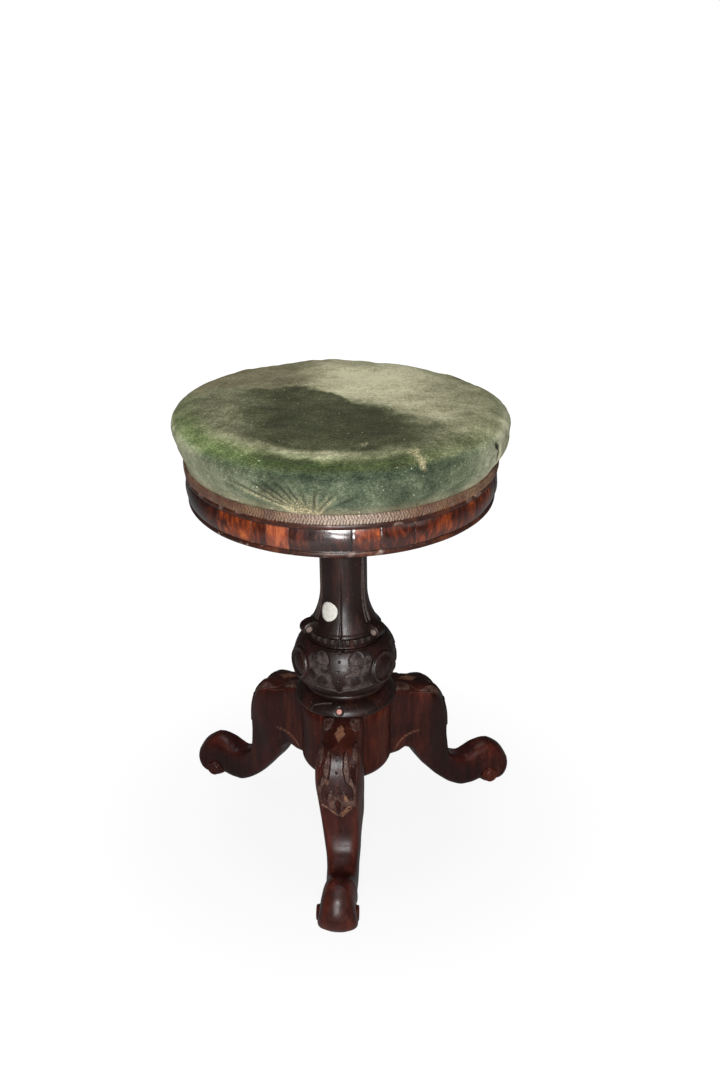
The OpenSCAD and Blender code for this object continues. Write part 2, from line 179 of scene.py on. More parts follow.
@dataclass
class Carving:
    """Carver's work on a field laid flat: u runs across and v along, both in metres."""

    u: Array
    v: Array

    def __post_init__(self) -> None:
        """Starts with a plain field."""
        self.height, self.ground, self.wear, self.shade = (np.zeros_like(self.u) for _ in range(4))

    def from_line(self, line: Line) -> Array:
        """Measures how far each point of the field lies from a line.

        Args:
            line: The line's points.

        Returns:
            The distances.
        """
        p = np.asarray(line, float)
        best = np.full(self.u.shape, np.inf)
        for a, b in zip(p[:-1], p[1:]):
            d = b - a
            t = np.clip(((self.u - a[0]) * d[0] + (self.v - a[1]) * d[1]) / max(d @ d, 1e-18), 0, 1)
            best = np.minimum(best, np.hypot(self.u - a[0] - t * d[0], self.v - a[1] - t * d[1]))
        return best

    def within(self, outline: Line) -> Array:
        """Measures how deep each point of the field lies inside an outline.

        Args:
            outline: The outline's corners.

        Returns:
            The depths, which are negative outside it.
        """
        p = np.asarray(outline, float)
        inside = np.zeros(self.u.shape, bool)
        for a, b in zip(p, np.roll(p, -1, axis=0)):
            if a[1] != b[1]:
                crossing = a[0] + (self.v - a[1]) * (b[0] - a[0]) / (b[1] - a[1])
                inside ^= ((a[1] > self.v) != (b[1] > self.v)) & (self.u < crossing)
        return np.where(inside, 1, -1) * self.from_line(np.vstack([p, p[:1]]))

    def darken(self, amount: Array) -> None:
        """Darkens the colour where it is paler than this: painted shade, and in a few places a
        darker polish.
        """
        self.shade = np.maximum(self.shade, amount)

    def rub(self, amount: Array) -> None:
        """Rubs the polish off where it is less worn than this."""
        self.wear = np.maximum(self.wear, amount)

    def sink(self, depth_in: Array, depth: float, punched: float = 1.0) -> None:
        """Lowers a region to a punched ground, with painted shade at the foot of its wall.

        Args:
            depth_in: What within() gives for the region.
            depth: How deep the ground lies.
            punched: How strongly the ground is punched.
        """
        share = smoothstep(depth_in, -0.35 * MM, 0.35 * MM)
        self.height -= depth * share
        self.ground = np.maximum(self.ground, punched * share)
        self.darken(0.8 * bell(depth_in - 0.1 * MM, 0.5 * MM))

    def leave(self, depth_in: Array, height: float, round_in: float = 3 * MM) -> None:
        """Leaves a smooth rounded shape standing on the ground, with painted shade round its foot.

        Args:
            depth_in: What within() gives for the shape.
            height: How high it stands.
            round_in: How far in from its edge it goes on rising.
        """
        share = smoothstep(depth_in, -0.35 * MM, 0.35 * MM)
        swell = 0.6 + 0.4 * smoothstep(depth_in, 0, round_in)
        self.height += height * share * swell
        self.ground *= 1 - share
        self.shade *= 1 - share
        self.darken(0.85 * bell(depth_in + 0.25 * MM, 0.55 * MM))

    def cut(self, line: Line, width: float, depth: float) -> None:
        """Cuts a V groove with painted shade in it.

        Args:
            line: The line that it follows.
            width: How wide it is.
            depth: How deep it is.
        """
        near = bell(self.from_line(line), width / 2)
        self.height -= depth * near
        self.darken(0.9 * near)

    def fillet(self, line: Line, width: float, height: float,
               worn: float = 0.5) -> None:
        """Raises a thin rounded edge that is rubbed pale on its crest, with painted shade beside
        it.

        Args:
            line: The line that it follows.
            width: How wide it is.
            height: How high it stands.
            worn: How strongly it is rubbed.
        """
        far = self.from_line(line)
        self.height += height * bell(far, width / 2)
        self.rub(worn * bell(far, width / 3))
        self.darken(0.5 * bell(far - 0.85 * width, width / 3))

    def drill(self, at: float, radius: float) -> None:
        """Drills a small blind hole on the middle line, with painted shade in it.

        Args:
            at: How far along it lies.
            radius: Its radius.
        """
        share = smoothstep(np.hypot(self.u, self.v - at), radius * 1.15, radius * 0.65)
        self.height -= 1.2 * MM * share
        self.darken(share)

    def marks(self) -> dict[str, Array]:
        """The marks that a finish reads from the mesh."""
        return {"ground": self.ground, "wear": self.wear, "shade": self.shade}


# ---- mesh helpers


def finish_mesh(name: str, bm: Mesh, smooth: bool = True) -> Piece:
    """Turns a finished bmesh into an object at the origin.

    Args:
        name: The piece's name.
        bm: Its mesh, which is freed.
        smooth: Whether its faces are shaded smooth.

    Returns:
        The new object.
    """
    mesh = bpy.data.meshes.new(name)
    bm.to_mesh(mesh)
    bm.free()
    mesh.polygons.foreach_set("use_smooth", [smooth] * len(mesh.polygons))
    piece = bpy.data.objects.new(name, mesh)
    bpy.context.scene.collection.objects.link(piece)
    return piece


def turn_into(bm: Mesh, outline: Line, steps: int, place: Matrix | None = None) -> None:
    """Turns an outline round the upright axis, inside a bmesh that may hold other shells.

    Args:
        bm: The mesh to add to.
        outline: Points of (radius, height), from one pole to the other.
        steps: How many steps the full turn has.
        place: Where the turned shell goes, if not upright on the axis.
    """
    before = set(bm.verts)
    line = [bm.verts.new((r, 0, z)) for r, z in outline]
    edges = [bm.edges.new(pair) for pair in zip(line, line[1:])]
    bmesh.ops.spin(bm, geom=line + edges, cent=(0, 0, 0), axis=(0, 0, 1), angle=FULL_TURN,
                   steps=steps, use_merge=True)
    close_shell(bm, before, 1e-6)
    if place is not None:
        bmesh.ops.transform(bm, matrix=place, verts=[v for v in bm.verts if v not in before])


def close_shell(bm: Mesh, before: set[bmesh.types.BMVert], apart: float) -> None:
    """Merges the doubles of what was added to a bmesh, fills its ends and turns its faces out.

    Args:
        bm: The mesh.
        before: The points that it held before.
        apart: How close doubles lie.
    """
    bmesh.ops.remove_doubles(bm, verts=[v for v in bm.verts if v not in before], dist=apart)
    new = [v for v in bm.verts if v not in before]
    rims = list({e for v in new for e in v.link_edges if e.is_boundary})
    if rims:
        bmesh.ops.holes_fill(bm, edges=rims, sides=0)
    bmesh.ops.recalc_face_normals(bm, faces=list({f for v in new for f in v.link_faces}))


def turned(name: str, outline: Line, steps: int) -> Piece:
    """Turns an outline round the upright axis.

    Args:
        name: The piece's name.
        outline: Points of (radius, height), from one pole to the other.
        steps: How many steps the full turn has.

    Returns:
        The turned piece.
    """
    bm = bmesh.new()
    turn_into(bm, outline, steps)
    return finish_mesh(name, bm)


@dataclass
class Sheet:
    """A grid of points laid over a form, row by row, with the marks that its finish reads."""

    points: Array
    marks: dict[str, Array]

    def normals(self) -> Array:
        """Finds the way out of the form, for a grid whose first column is also its last.

        Returns:
            The way out at each point.
        """
        across = np.gradient(self.points, axis=1)
        across[:, 0] = across[:, -1] = (self.points[:, 1] - self.points[:, -2]) / 2
        n = np.cross(across, np.gradient(self.points, axis=0))
        return n / np.maximum(np.linalg.norm(n, axis=-1, keepdims=True), 1e-12)

    def push(self, height: Array) -> None:
        """Moves the points out of the form by a height at each."""
        self.points = self.points + self.normals() * height[..., None]

    def into(self, bm: Mesh) -> None:
        """Lays the sheet as a closed shell into a bmesh.

        Args:
            bm: The mesh to add to.
        """
        before = set(bm.verts)
        rows, columns = self.points.shape[:2]
        layers = {name: bm.verts.layers.float.new(name) for name in self.marks}
        made = bmesh.ops.create_grid(bm, x_segments=columns - 1, y_segments=rows - 1, size=0.5)
        for vert in made["verts"]:
            i = round((vert.co.x + 0.5) * (columns - 1))
            j = round((vert.co.y + 0.5) * (rows - 1))
            vert.co = self.points[j, i]
            for name, layer in layers.items():
                vert[layer] = float(self.marks[name][j, i])
        close_shell(bm, before, 2e-7)

    def build(self, name: str) -> Piece:
        """Makes a piece of the sheet alone.

        Args:
            name: The piece's name.

        Returns:
            The piece.
        """
        bm = bmesh.new()
        self.into(bm)
        return finish_mesh(name, bm)


@dataclass
class Hoop:
    """A section carried round the axis as a grid, with a row for each of its points."""

    section: Array
    steps: int

    def __post_init__(self) -> None:
        """Lays the grid out."""
        turn = np.radians(np.linspace(0, 360, self.steps + 1))
        wide = (1, len(turn))
        self.radius, self.z = np.tile(self.section[:, :1], wide), np.tile(self.section[:, 1:], wide)
        self.turn = np.tile(turn, (len(self.section), 1))
        self.angle = np.degrees(self.turn)
        self.way = np.stack([np.cos(self.turn), np.sin(self.turn), np.zeros_like(self.turn)], -1)
        self.points = self.way * self.radius[..., None]
        self.points[..., 2] = self.z

    def rows(self, first: int, last: int) -> Array:
        """Marks the rows from the first up to and without the last, as a column."""
        index = np.arange(len(self.section))[:, None]
        return (index >= first) & (index < last)

    def swell(self, height: Array) -> None:
        """Moves the points away from the axis."""
        self.points = self.points + self.way * height[..., None]


def baked(piece: Piece) -> None:
    """Applies every modifier of a piece to its mesh.

    Args:
        piece: The piece, which keeps none of them.
    """
    deps = bpy.context.evaluated_depsgraph_get()
    mesh = bpy.data.meshes.new_from_object(piece.evaluated_get(deps))
    piece.modifiers.clear()
    piece.data = mesh


def positions(mesh: bpy.types.Mesh) -> Array:
    """The places of a mesh's points, one row each."""
    return np.array([vert.co for vert in mesh.vertices], float)


def move_to(piece: Piece, places: Array) -> None:
    """Moves a piece's points."""
    piece.data.vertices.foreach_set("co", places.astype(np.float32).ravel())
    piece.data.update()


def set_mark(piece: Piece, name: str, values: Array) -> None:
    """Writes one mark on a piece's points for its finish to read."""
    mark = piece.data.attributes.new(name, "FLOAT", "POINT")
    mark.data.foreach_set("value", values.astype(np.float32).ravel())


# ---- finishes


class Paint:
    """A node material in the making."""

    def __init__(self, name: str) -> None:
        """Starts a material with its shader.

        Args:
            name: The material's name.
        """
        self.material = bpy.data.materials.new(name)
        self.material.use_nodes = True
        self.tree = self.material.node_tree
        self.shader = self.tree.nodes["Principled BSDF"]

    def feed(self, socket: Socket, value: object) -> None:
        """Links a socket, or sets its own value.

        Args:
            socket: The socket.
            value: Another socket, a colour or a number.
        """
        if isinstance(value, Socket):
            self.tree.links.new(value, socket)
        elif isinstance(value, tuple) and socket.type == "RGBA":
            socket.default_value = (*value, 1.0)
        else:
            socket.default_value = value

    def node(self, kind: str, settings: dict[str, object] | None = None,
             **inputs: object) -> bpy.types.Node:
        """Adds a node.

        Args:
            kind: The node's type without its prefix.
            settings: Its own options.
            **inputs: Its sockets by name, with _ for a space.

        Returns:
            The node.
        """
        new = self.tree.nodes.new("ShaderNode" + kind)
        for key, value in (settings or {}).items():
            setattr(new, key, value)
        for key, value in inputs.items():
            self.feed(new.inputs[key.replace("_", " ")], value)
        return new

    def place(self, stretch: Place = (1, 1, 1)) -> Socket:
        """Coordinates of the piece itself, stretched."""
        where = self.node("TexCoord").outputs["Object"]
        return self.node("Mapping", Vector=where, Scale=stretch).outputs["Vector"]

    def noise(self, where: Socket, scale: float, detail: float = 4.0, rough: float = 0.55,
              warp: float = 0.0) -> Socket:
        """Cloudy noise; scale is swells to the metre."""
        return self.node("TexNoise", Vector=where, Scale=scale, Detail=detail, Roughness=rough,
                         Distortion=warp).outputs["Fac"]

    def cells(self, where: Socket, scale: float) -> Socket:
        """The distance to the nearest of scattered dots; scale is dots to the metre."""
        return self.node("TexVoronoi", Vector=where, Scale=scale).outputs["Distance"]

    def level(self, value: Socket, low: float, high: float, to_low: float = 0.0,
              to_high: float = 1.0) -> Socket:
        """Stretches a range of a value to another range.

        Args:
            value: The value.
            low: Where its range starts.
            high: Where its range ends.
            to_low: What the start becomes.
            to_high: What the end becomes.

        Returns:
            The stretched value, which stays in the new range.
        """
        made = self.node("MapRange", {"clamp": True}, Value=value, From_Min=low, From_Max=high,
                         To_Min=to_low, To_Max=to_high)
        return made.outputs["Result"]

    def ramp(self, value: Socket, stops: Stops) -> Socket:
        """Turns a value into a colour.

        Args:
            value: The value.
            stops: Values with their colours, in order.

        Returns:
            The colour.
        """
        made = self.node("ValToRGB", Fac=value)
        band = made.color_ramp.elements
        while len(band) < len(stops):
            band.new(0.5)
        for element, (at, colour) in zip(band, stops):
            element.position, element.color = at, (*colour, 1.0)
        return made.outputs["Color"]

    def blend(self, share: object, under: object, over: object) -> Socket:
        """Lays one colour over another.

        Args:
            share: How much of it is laid.
            under: The colour below.
            over: The colour laid over it.

        Returns:
            The mixed colour.
        """
        made = self.node("Mix", {"data_type": "RGBA", "blend_type": "MIX"})
        for index, value in ((0, share), (6, under), (7, over)):
            self.feed(made.inputs[index], value)
        return made.outputs[2]

    def math(self, operation: str, a: object, b: object) -> Socket:
        """Does a sum.

        Args:
            operation: The node's name for it.
            a: The first value.
            b: The second value.

        Returns:
            The result.
        """
        made = self.node("Math", {"operation": operation})
        self.feed(made.inputs[0], a)
        self.feed(made.inputs[1], b)
        return made.outputs[0]

    def plus(self, a: object, b: object) -> Socket:
        """One value and another."""
        return self.math("ADD", a, b)

    def times(self, a: object, b: object) -> Socket:
        """One value times another."""
        return self.math("MULTIPLY", a, b)

    def swing(self, value: Socket, reach: float) -> Socket:
        """A value's swing about its middle, times its reach."""
        return self.times(self.math("SUBTRACT", value, 0.5), reach)

    def mark(self, name: str) -> Socket:
        """A mark written on the mesh, which is 0 where there is none."""
        return self.node("Attribute", {"attribute_name": name}).outputs["Fac"]

    def stain(self, under: Socket, name: str, share: object, colour: Colour) -> Socket:
        """Lays a colour where the mesh has a mark, by the mark times a share."""
        return self.blend(self.times(self.mark(name), share), under, colour)

    def bump(self, height: Socket, depth: float, under: Socket | None = None) -> Socket:
        """Adds a fine relief.

        Args:
            height: The relief, from 0 to 1.
            depth: Its depth in metres.
            under: Another relief below it.

        Returns:
            The bent normal.
        """
        made = self.node("Bump", Height=height, Distance=depth, Strength=1.0)
        if under is not None:
            self.feed(made.inputs["Normal"], under)
        return made.outputs["Normal"]

    def surface(self, **inputs: object) -> Material:
        """Feeds the shader and gives the material.

        Args:
            **inputs: The shader's sockets by name, with _ for a space.

        Returns:
            The material.
        """
        for key, value in inputs.items():
            self.feed(self.shader.inputs[key.replace("_", " ")], value)
        return self.material


@dataclass(frozen=True)
class Rosewood:
    """Polished rosewood, with punched ground, worn edges, darker polish, painted light and painted
    shade where a mesh marks them.
    """

    name: str
    dark: Colour
    mid: Colour
    light: Colour
    stretch: Place = (1.0, 1.0, 0.12)
    figure: float = 38.0
    gloss: float = 0.34
    shine: float = 0.26
    ground: Colour = (0.108, 0.06, 0.045)
    bare: Colour = (0.3, 0.17, 0.12)
    rubbed: Colour = (0.085, 0.017, 0.01)
    # colour of the shade mark: painted shade, and in a few places a darker polish
    dark_tone_and_painted_shade: Colour = (0.005, 0.003, 0.0025)

    def material(self) -> Material:
        """Mixes the finish.

        Returns:
            The material.
        """
        p = Paint(self.name)
        along, here = p.place(self.stretch), p.place()
        broad = p.noise(along, self.figure, 3, 0.5, 0.8)
        streak = p.noise(along, self.figure * 6, 6, 0.6, 0.4)
        pores = p.noise(along, self.figure * 26, 2, 0.5)
        mottle = p.noise(here, 22, 3, 0.5)
        tone = p.level(p.plus(p.times(broad, 0.6), p.times(streak, 0.4)), 0.32, 0.68)
        wood = p.ramp(tone, ((0.0, self.dark), (0.5, self.mid), (1.0, self.light)))
        wood = p.blend(p.level(pores, 0.58, 0.72, 0, 0.6), wood, self.dark)
        wood = p.blend(p.level(mottle, 0.42, 0.68, 0, 0.55), wood, self.dark)
        scuffs = p.level(p.noise(here, 260, 5, 0.65), 0.64, 0.72, 0, 0.3)
        wood = p.blend(scuffs, wood, self.bare)
        # the rub mark: worn edges, and painted light on the front leg's flat sides
        wood = p.stain(wood, "rub", p.level(mottle, 0.35, 0.65, 0.8, 0.1), self.rubbed)
        dots = p.cells(here, 850)
        ground = p.mark("ground")
        dusty = p.blend(p.level(p.noise(here, 130), 0.35, 0.65), self.ground, self.mid)
        punched = p.blend(p.level(dots, 0.12, 0.5), self.dark, dusty)
        wood = p.blend(p.times(ground, 0.9), wood, punched)
        patchy = p.level(p.noise(here, 300, 4, 0.6), 0.35, 0.6, 0.35, 1)
        wood = p.stain(wood, "wear", patchy, self.bare)
        # painted shade in grooves, holes and at the foot of walls, and on the side legs' flat
        # sides; a darker polish in a few places
        wood = p.stain(wood, "shade", 0.92, self.dark_tone_and_painted_shade)
        rough = p.plus(p.level(streak, 0.3, 0.7, self.gloss - 0.05, self.gloss + 0.09),
                       p.times(ground, 0.3))
        relief = p.bump(p.times(ground, p.level(dots, 0.0, 0.45)), 0.0005, p.bump(pores, 0.00012))
        return p.surface(Base_Color=wood, Roughness=rough, Normal=relief, Coat_Weight=0.03,
                         Coat_Roughness=0.12, Specular_IOR_Level=self.shine)


@dataclass(frozen=True)
class Crossband:
    """French polished crossband veneer: each piece has its own tone, from amber to nearly black."""

    name: str = "crossband_veneer"
    tones: Stops = (
        (0.0, (0.008, 0.0025, 0.002)), (0.35, (0.03, 0.006, 0.003)), (0.6, (0.085, 0.015, 0.005)),
        (0.84, (0.2, 0.037, 0.008)), (1.0, (0.36, 0.088, 0.015)))
    pore: Colour = (0.018, 0.005, 0.003)
    pink: Colour = (0.27, 0.075, 0.045)
    # colour of the open joints, also painted shade along the band's edges
    joint: Colour = (0.006, 0.004, 0.003)
    chipped: Colour = (0.4, 0.26, 0.18)

    def material(self) -> Material:
        """Mixes the finish.

        Returns:
            The material.
        """
        p = Paint(self.name)
        own = p.mark("own")
        run = p.node("CombineXYZ", X=p.mark("round"), Y=p.times(own, 3.0), Z=p.mark("up"))
        run = run.outputs[0]
        across = p.node("Mapping", Vector=run, Scale=(1.0, 1.0, 0.35)).outputs["Vector"]
        stripes = p.noise(across, 150, 5, 0.62, 0.7)
        fine = p.noise(across, 700, 4, 0.6)
        cloud = p.noise(run, 24, 3, 0.5)
        tone = p.plus(p.plus(p.times(stripes, 0.55), p.times(cloud, 0.45)), p.swing(own, 0.22))
        wood = p.ramp(p.level(tone, 0.36, 0.68), self.tones)
        wood = p.blend(p.level(fine, 0.52, 0.68, 0, 0.65), wood, self.pore)
        wood = p.stain(wood, "pink", p.level(stripes, 0.4, 0.62, 0.25, 0.75), self.pink)
        # dark joints, and painted shade along the band's edges under the beads
        wood = p.stain(wood, "shade", 0.92, self.joint)
        wood = p.stain(wood, "wear", 1.0, self.chipped)
        relief = p.bump(fine, 0.00008, p.bump(cloud, 0.0006))
        return p.surface(Base_Color=wood, Roughness=p.level(stripes, 0.3, 0.7, 0.2, 0.32),
                         Normal=relief, Coat_Weight=0.7, Coat_Roughness=0.19,
                         Specular_IOR_Level=0.42)


@dataclass(frozen=True)
class Velvet:
    """Moss green cotton velvet, its nap rubbed pale on top and dark where it still stands, with
    painted sheen at the side's far left and right and painted shade in its creases and slit.
    """

    name: str = "worn_velvet"
    olive: Stops = (
        (0.0, (0.022, 0.022, 0.010)), (0.3, (0.075, 0.078, 0.040)), (0.62, (0.23, 0.225, 0.135)),
        (1.0, (0.56, 0.53, 0.36)))
    fresh: Stops = (
        (0.0, (0.018, 0.03, 0.009)), (0.35, (0.075, 0.12, 0.032)), (0.65, (0.23, 0.30, 0.11)),
        (1.0, (0.52, 0.58, 0.30)))
    cool: Stops = (
        (0.0, (0.016, 0.028, 0.019)), (0.35, (0.065, 0.094, 0.062)), (0.65, (0.18, 0.22, 0.15)),
        (1.0, (0.46, 0.48, 0.34)))
    faded: Colour = (0.22, 0.15, 0.095)
    backing: Colour = (0.58, 0.5, 0.3)
    lint: Colour = (0.66, 0.66, 0.5)
    # colour of the slit: painted shade inside it
    slit: Colour = (0.012, 0.014, 0.008)
    sheen: Colour = (0.62, 0.68, 0.45)

    def material(self) -> Material:
        """Mixes the finish.

        Returns:
            The material.
        """
        p = Paint(self.name)
        here = p.place()
        tuft = p.noise(here, 330, 5, 0.75)
        swings = ((p.noise(here, 75, 5, 0.68, 0.5), 0.6),
                  (p.noise(p.place((1.0, 2.6, 1.0)), 26, 5, 0.66, 0.4), 0.45), (tuft, 0.75),
                  (p.noise(p.place((0.6, 1.0, 1.0)), 760, 3, 0.7), 0.95))
        tone = p.mark("pale")
        for swing, reach in swings:
            tone = p.plus(tone, p.swing(swing, reach))
        cloth = p.blend(p.mark("fresh"), p.ramp(tone, self.olive), p.ramp(tone, self.fresh))
        cloth = p.blend(p.mark("cool"), cloth, p.ramp(tone, self.cool))
        cloth = p.stain(cloth, "brown", 1.0, self.faded)
        broken = p.level(p.noise(here, 700, 3, 0.7), 0.44, 0.62, 0.1, 0.95)
        cloth = p.stain(cloth, "thread", broken, self.backing)
        fluff = p.times(p.level(p.cells(here, 150), 0.11, 0.07, 0, 0.75),
                        p.level(p.noise(here, 90), 0.5, 0.56))
        cloth = p.blend(fluff, cloth, self.lint)
        # painted shade inside the slit
        cloth = p.stain(cloth, "shade", 1.0, self.slit)
        relief = p.bump(p.noise(here, 1500, 2, 0.5), 0.0006, p.bump(tuft, 0.0012))
        return p.surface(Base_Color=cloth, Roughness=0.92, Normal=relief, Sheen_Weight=0.12,
                         Sheen_Roughness=0.45, Sheen_Tint=self.sheen, Specular_IOR_Level=0.1)


@dataclass(frozen=True)
class Braid:
    """Woven gimp braid, faded from brown to drab, paler at the front partly with painted highlight,
    and with painted shade between its tufts.
    """

    name: str = "gimp_braid_yarn"
    tones: Stops = (
        (0.0, (0.08, 0.026, 0.011)), (0.5, (0.13, 0.052, 0.022)), (1.0, (0.2, 0.11, 0.055)))
    # pale colour of the front: partly bleaching, partly painted highlight
    bleached_and_painted_highlight: Colour = (0.5, 0.4, 0.32)
    deep: Colour = (0.035, 0.02, 0.013)
    # colour of the painted shade between the tufts
    dark_tone_and_painted_shade: Colour = (0.02, 0.011, 0.007)

    def material(self) -> Material:
        """Mixes the finish.

        Returns:
            The material.
        """
        p = Paint(self.name)
        here = p.place()
        yarn = p.noise(here, 900, 4, 0.7)
        cloth = p.ramp(p.level(p.noise(here, 46, 3, 0.5), 0.35, 0.65), self.tones)
        # paler at the front: partly bleached, partly painted highlight
        cloth = p.stain(cloth, "bleach_and_highlight", 1.0, self.bleached_and_painted_highlight)
        cloth = p.blend(p.level(yarn, 0.42, 0.62, 0, 0.75), cloth, self.deep)
        # painted shade in the dips between the tufts
        cloth = p.stain(cloth, "shade", 0.8, self.dark_tone_and_painted_shade)
        return p.surface(Base_Color=cloth, Roughness=0.85, Normal=p.bump(yarn, 0.0004),
                         Sheen_Weight=0.1, Sheen_Roughness=0.5, Specular_IOR_Level=0.2)


@dataclass(frozen=True)
class Metal:
    """Old iron or steel, oiled and patchy."""

    name: str
    tint: Colour
    rough: float
    rust: Colour = (0.12, 0.055, 0.028)

    def material(self) -> Material:
        """Mixes the finish.

        Returns:
            The material.
        """
        p = Paint(self.name)
        here = p.place()
        patch = p.noise(here, 60, 5, 0.65)
        tone = p.blend(p.level(patch, 0.52, 0.7, 0, 0.6), self.tint, self.rust)
        return p.surface(Base_Color=tone, Metallic=0.85,
                         Normal=p.bump(p.noise(here, 420, 5, 0.6), 0.0003),
                         Roughness=p.level(patch, 0.3, 0.7, self.rough - 0.1, self.rough + 0.2))


@dataclass(frozen=True)
class BareWood:
    """Unpolished sawn wood."""

    name: str = "bare_wood"
    pale: Colour = (0.5, 0.34, 0.19)
    deep: Colour = (0.27, 0.16, 0.08)

    def material(self) -> Material:
        """Mixes the finish.

        Returns:
            The material.
        """
        p = Paint(self.name)
        along = p.place((1.0, 0.08, 1.0))
        rings, fibre = p.noise(along, 90, 5, 0.6, 1.2), p.noise(along, 900, 3, 0.6)
        wood = p.ramp(p.level(rings, 0.35, 0.65), ((0.0, self.deep), (1.0, self.pale)))
        wood = p.blend(p.level(fibre, 0.5, 0.75, 0, 0.5), wood, self.deep)
        return p.surface(Base_Color=wood, Roughness=0.8, Normal=p.bump(fibre, 0.0003))


@dataclass(frozen=True)
class Flat:
    """A dull, slightly mottled finish for leather, paper and end grain."""

    name: str
    pale: Colour
    deep: Colour
    scale: float = 300.0
    rough: float = 0.7

    def material(self) -> Material:
        """Mixes the finish.

        Returns:
            The material.
        """
        p = Paint(self.name)
        grain = p.noise(p.place(), self.scale, 5, 0.6)
        tone = p.ramp(p.level(grain, 0.35, 0.7), ((0.0, self.deep), (1.0, self.pale)))
        return p.surface(Base_Color=tone, Roughness=self.rough, Normal=p.bump(grain, 0.0002))


LEG_WOOD = Rosewood("leg_rosewood", (0.009, 0.0022, 0.0016), (0.03, 0.0052, 0.0034),
                    (0.088, 0.017, 0.0095), bare=(0.24, 0.115, 0.065), shine=0.22)
COLUMN_WOOD = Rosewood("column_rosewood", (0.006, 0.003, 0.0025), (0.012, 0.0046, 0.0036),
                       (0.04, 0.0105, 0.0072), ground=(0.078, 0.057, 0.05), bare=(0.24, 0.18, 0.15),
                       gloss=0.36, shine=0.3)
DRUM_WOOD = Rosewood("drum_rosewood", (0.01, 0.0024, 0.0016), (0.04, 0.0066, 0.0034),
                     (0.12, 0.024, 0.01), stretch=(1.0, 1.0, 0.07), figure=60.0, shine=0.16)
BEAD_WOOD = Rosewood("bead_rosewood", (0.012, 0.005, 0.004), (0.04, 0.012, 0.007),
                     (0.12, 0.035, 0.015), stretch=(1.0, 1.0, 1.0), figure=30.0,
                     bare=(0.42, 0.3, 0.24))
PEG_WOOD = Flat("peg_end_grain", (0.5, 0.22, 0.18), (0.3, 0.11, 0.08), 900.0, 0.5)
LABEL_PAPER = Flat("label_paper", (0.55, 0.54, 0.49), (0.43, 0.42, 0.37), 260.0)
WASHER_LEATHER = Flat("washer_leather", (0.24, 0.13, 0.06), (0.12, 0.06, 0.03))
IRON = Metal("oiled_iron", (0.075, 0.07, 0.066), 0.45)
STEEL = Metal("dull_steel", (0.2, 0.19, 0.18), 0.4)


def dress(piece: Piece, finish: Material) -> None:
    """Gives a piece one finish all over."""
    piece.data.materials.clear()
    piece.data.materials.append(finish)


def dress_nodes(finish: Material, *nodes: str) -> None:
    """Gives carried-over solids a better finish.

    Args:
        finish: The finish.
        *nodes: The solids' names.
    """
    for node in nodes:
        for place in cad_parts[node].material_slots:
            place.material = finish


def hand_over(piece: Piece, finish: Material, body: Body, slot: str, *nodes: str) -> None:
    """Dresses a piece and lets it ride on its body and stand for its solids.

    Args:
        piece: The finished piece.
        finish: Its finish.
        body: The body that carries it.
        slot: The record's material slot; not used.
        *nodes: The solids that it stands for.
    """
    dress(piece, finish)
    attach(piece, body.value)
    if nodes:
        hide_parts(*nodes)
    log.info("%s: %d faces, rides on %s", piece.name, len(piece.data.polygons), body.value)


# ---- legs


@dataclass(frozen=True)
class KneePattern:
    """The carver's pattern for a leg: across and down from the drum, in millimetres."""

    tongue: Outline = ((-12, 46), (4.8, 49), (6.8, 60), (7.1, 74), (8.8, 84), (12.4, 90),
                       (16, 93.5), (17.2, 101), (15.4, 107.5), (11.6, 107), (9.8, 101.5), (6, 100),
                       (3, 102.5), (-12, 104))
    foot: Outline = ((-9, 84), (7, 84), (12, 82), (15, 80), (22.6, 84), (23.2, 100), (22, 112),
                     (18, 115.5), (13, 118.5), (9, 124), (4, 128.5), (0, 133), (-9, 133))
    inner_leaf: Outline = ((9.4, 50), (8, 58), (6, 66), (5, 76), (6, 89), (12.6, 88), (13.8, 80),
                           (13.6, 70), (11.6, 60))
    half_moon: Outline = ((20.5, 36), (16.2, 44), (15.4, 54), (17, 64), (19.6, 70), (22.9, 66),
                          (23.6, 52), (22.9, 40))
    top_leaf: Outline = ((9, 6), (8.5, 12), (11.5, 19), (16, 22.5), (20, 20), (21.5, 12), (20.5, 4))
    curl: Outline = ((18, 8), (14, 7), (12.5, 12), (16, 15), (18, 12), (15.5, 10.5))
    diamond: Outline = ((0, 14.5), (2.5, 18), (5, 20.5), (4.6, 25), (7.4, 29), (5, 34), (2.6, 38),
                        (0, 43), (-3, 37), (-6, 30), (-4, 22))
    lobe: Outline = ((17, 67), (16, 76), (17.6, 85), (21, 88), (24, 84), (25.5, 76), (24, 66))
    stem: Outline = ((0, 108), (2.4, 113), (1.6, 119), (0, 126), (-1.6, 119), (-2.4, 113))
    rib: Outline = ((8, 20), (13, 22), (17.5, 27), (20.5, 32), (21.8, 40))
    edge_rib: Outline = ((23.6, 20), (24.4, 50), (24.6, 90), (23.4, 114))
    middle: Outline = ((0, 43), (0, 57))
    vein: Outline = ((1, 45), (3, 48.5), (1, 52), (3.4, 55))
    eyes: Outline = ((59, 0.75), (65, 0.55), (77.5, 1.2), (93, 0.6), (100, 0.5), (139, 0.55),
                     (143, 0.5), (147, 0.6))
    chips: Outline = ((-10.5, 88), (9.5, 107))
    ribbons: tuple[tuple[int, float, Outline], ...] = (
        (-1, 1.5, ((17, 113.5), (10, 120.5), (2.5, 129.5))),
        (1, 2.4, ((13, 117.5), (8.5, 122.5), (3, 128.5))))
    sole: Outline = ((-2, 232.6), (4, 233.3), (9, 235.6), (13, 239.5), (16.5, 246), (20, 256),
                     (24, 268))
    lip: Outline = ((-2, 273.5), (5, 273), (10, 270), (13.5, 264))
    side_arc: Outline = ((53, 92), (57, 100), (64, 106.5), (73, 110.5), (84, 112))
    side_lobe: Outline = ((50, 84), (52, 93), (58, 100.5), (66, 105), (76, 104), (84, 92), (86, 78),
                          (70, 74), (50, 84))


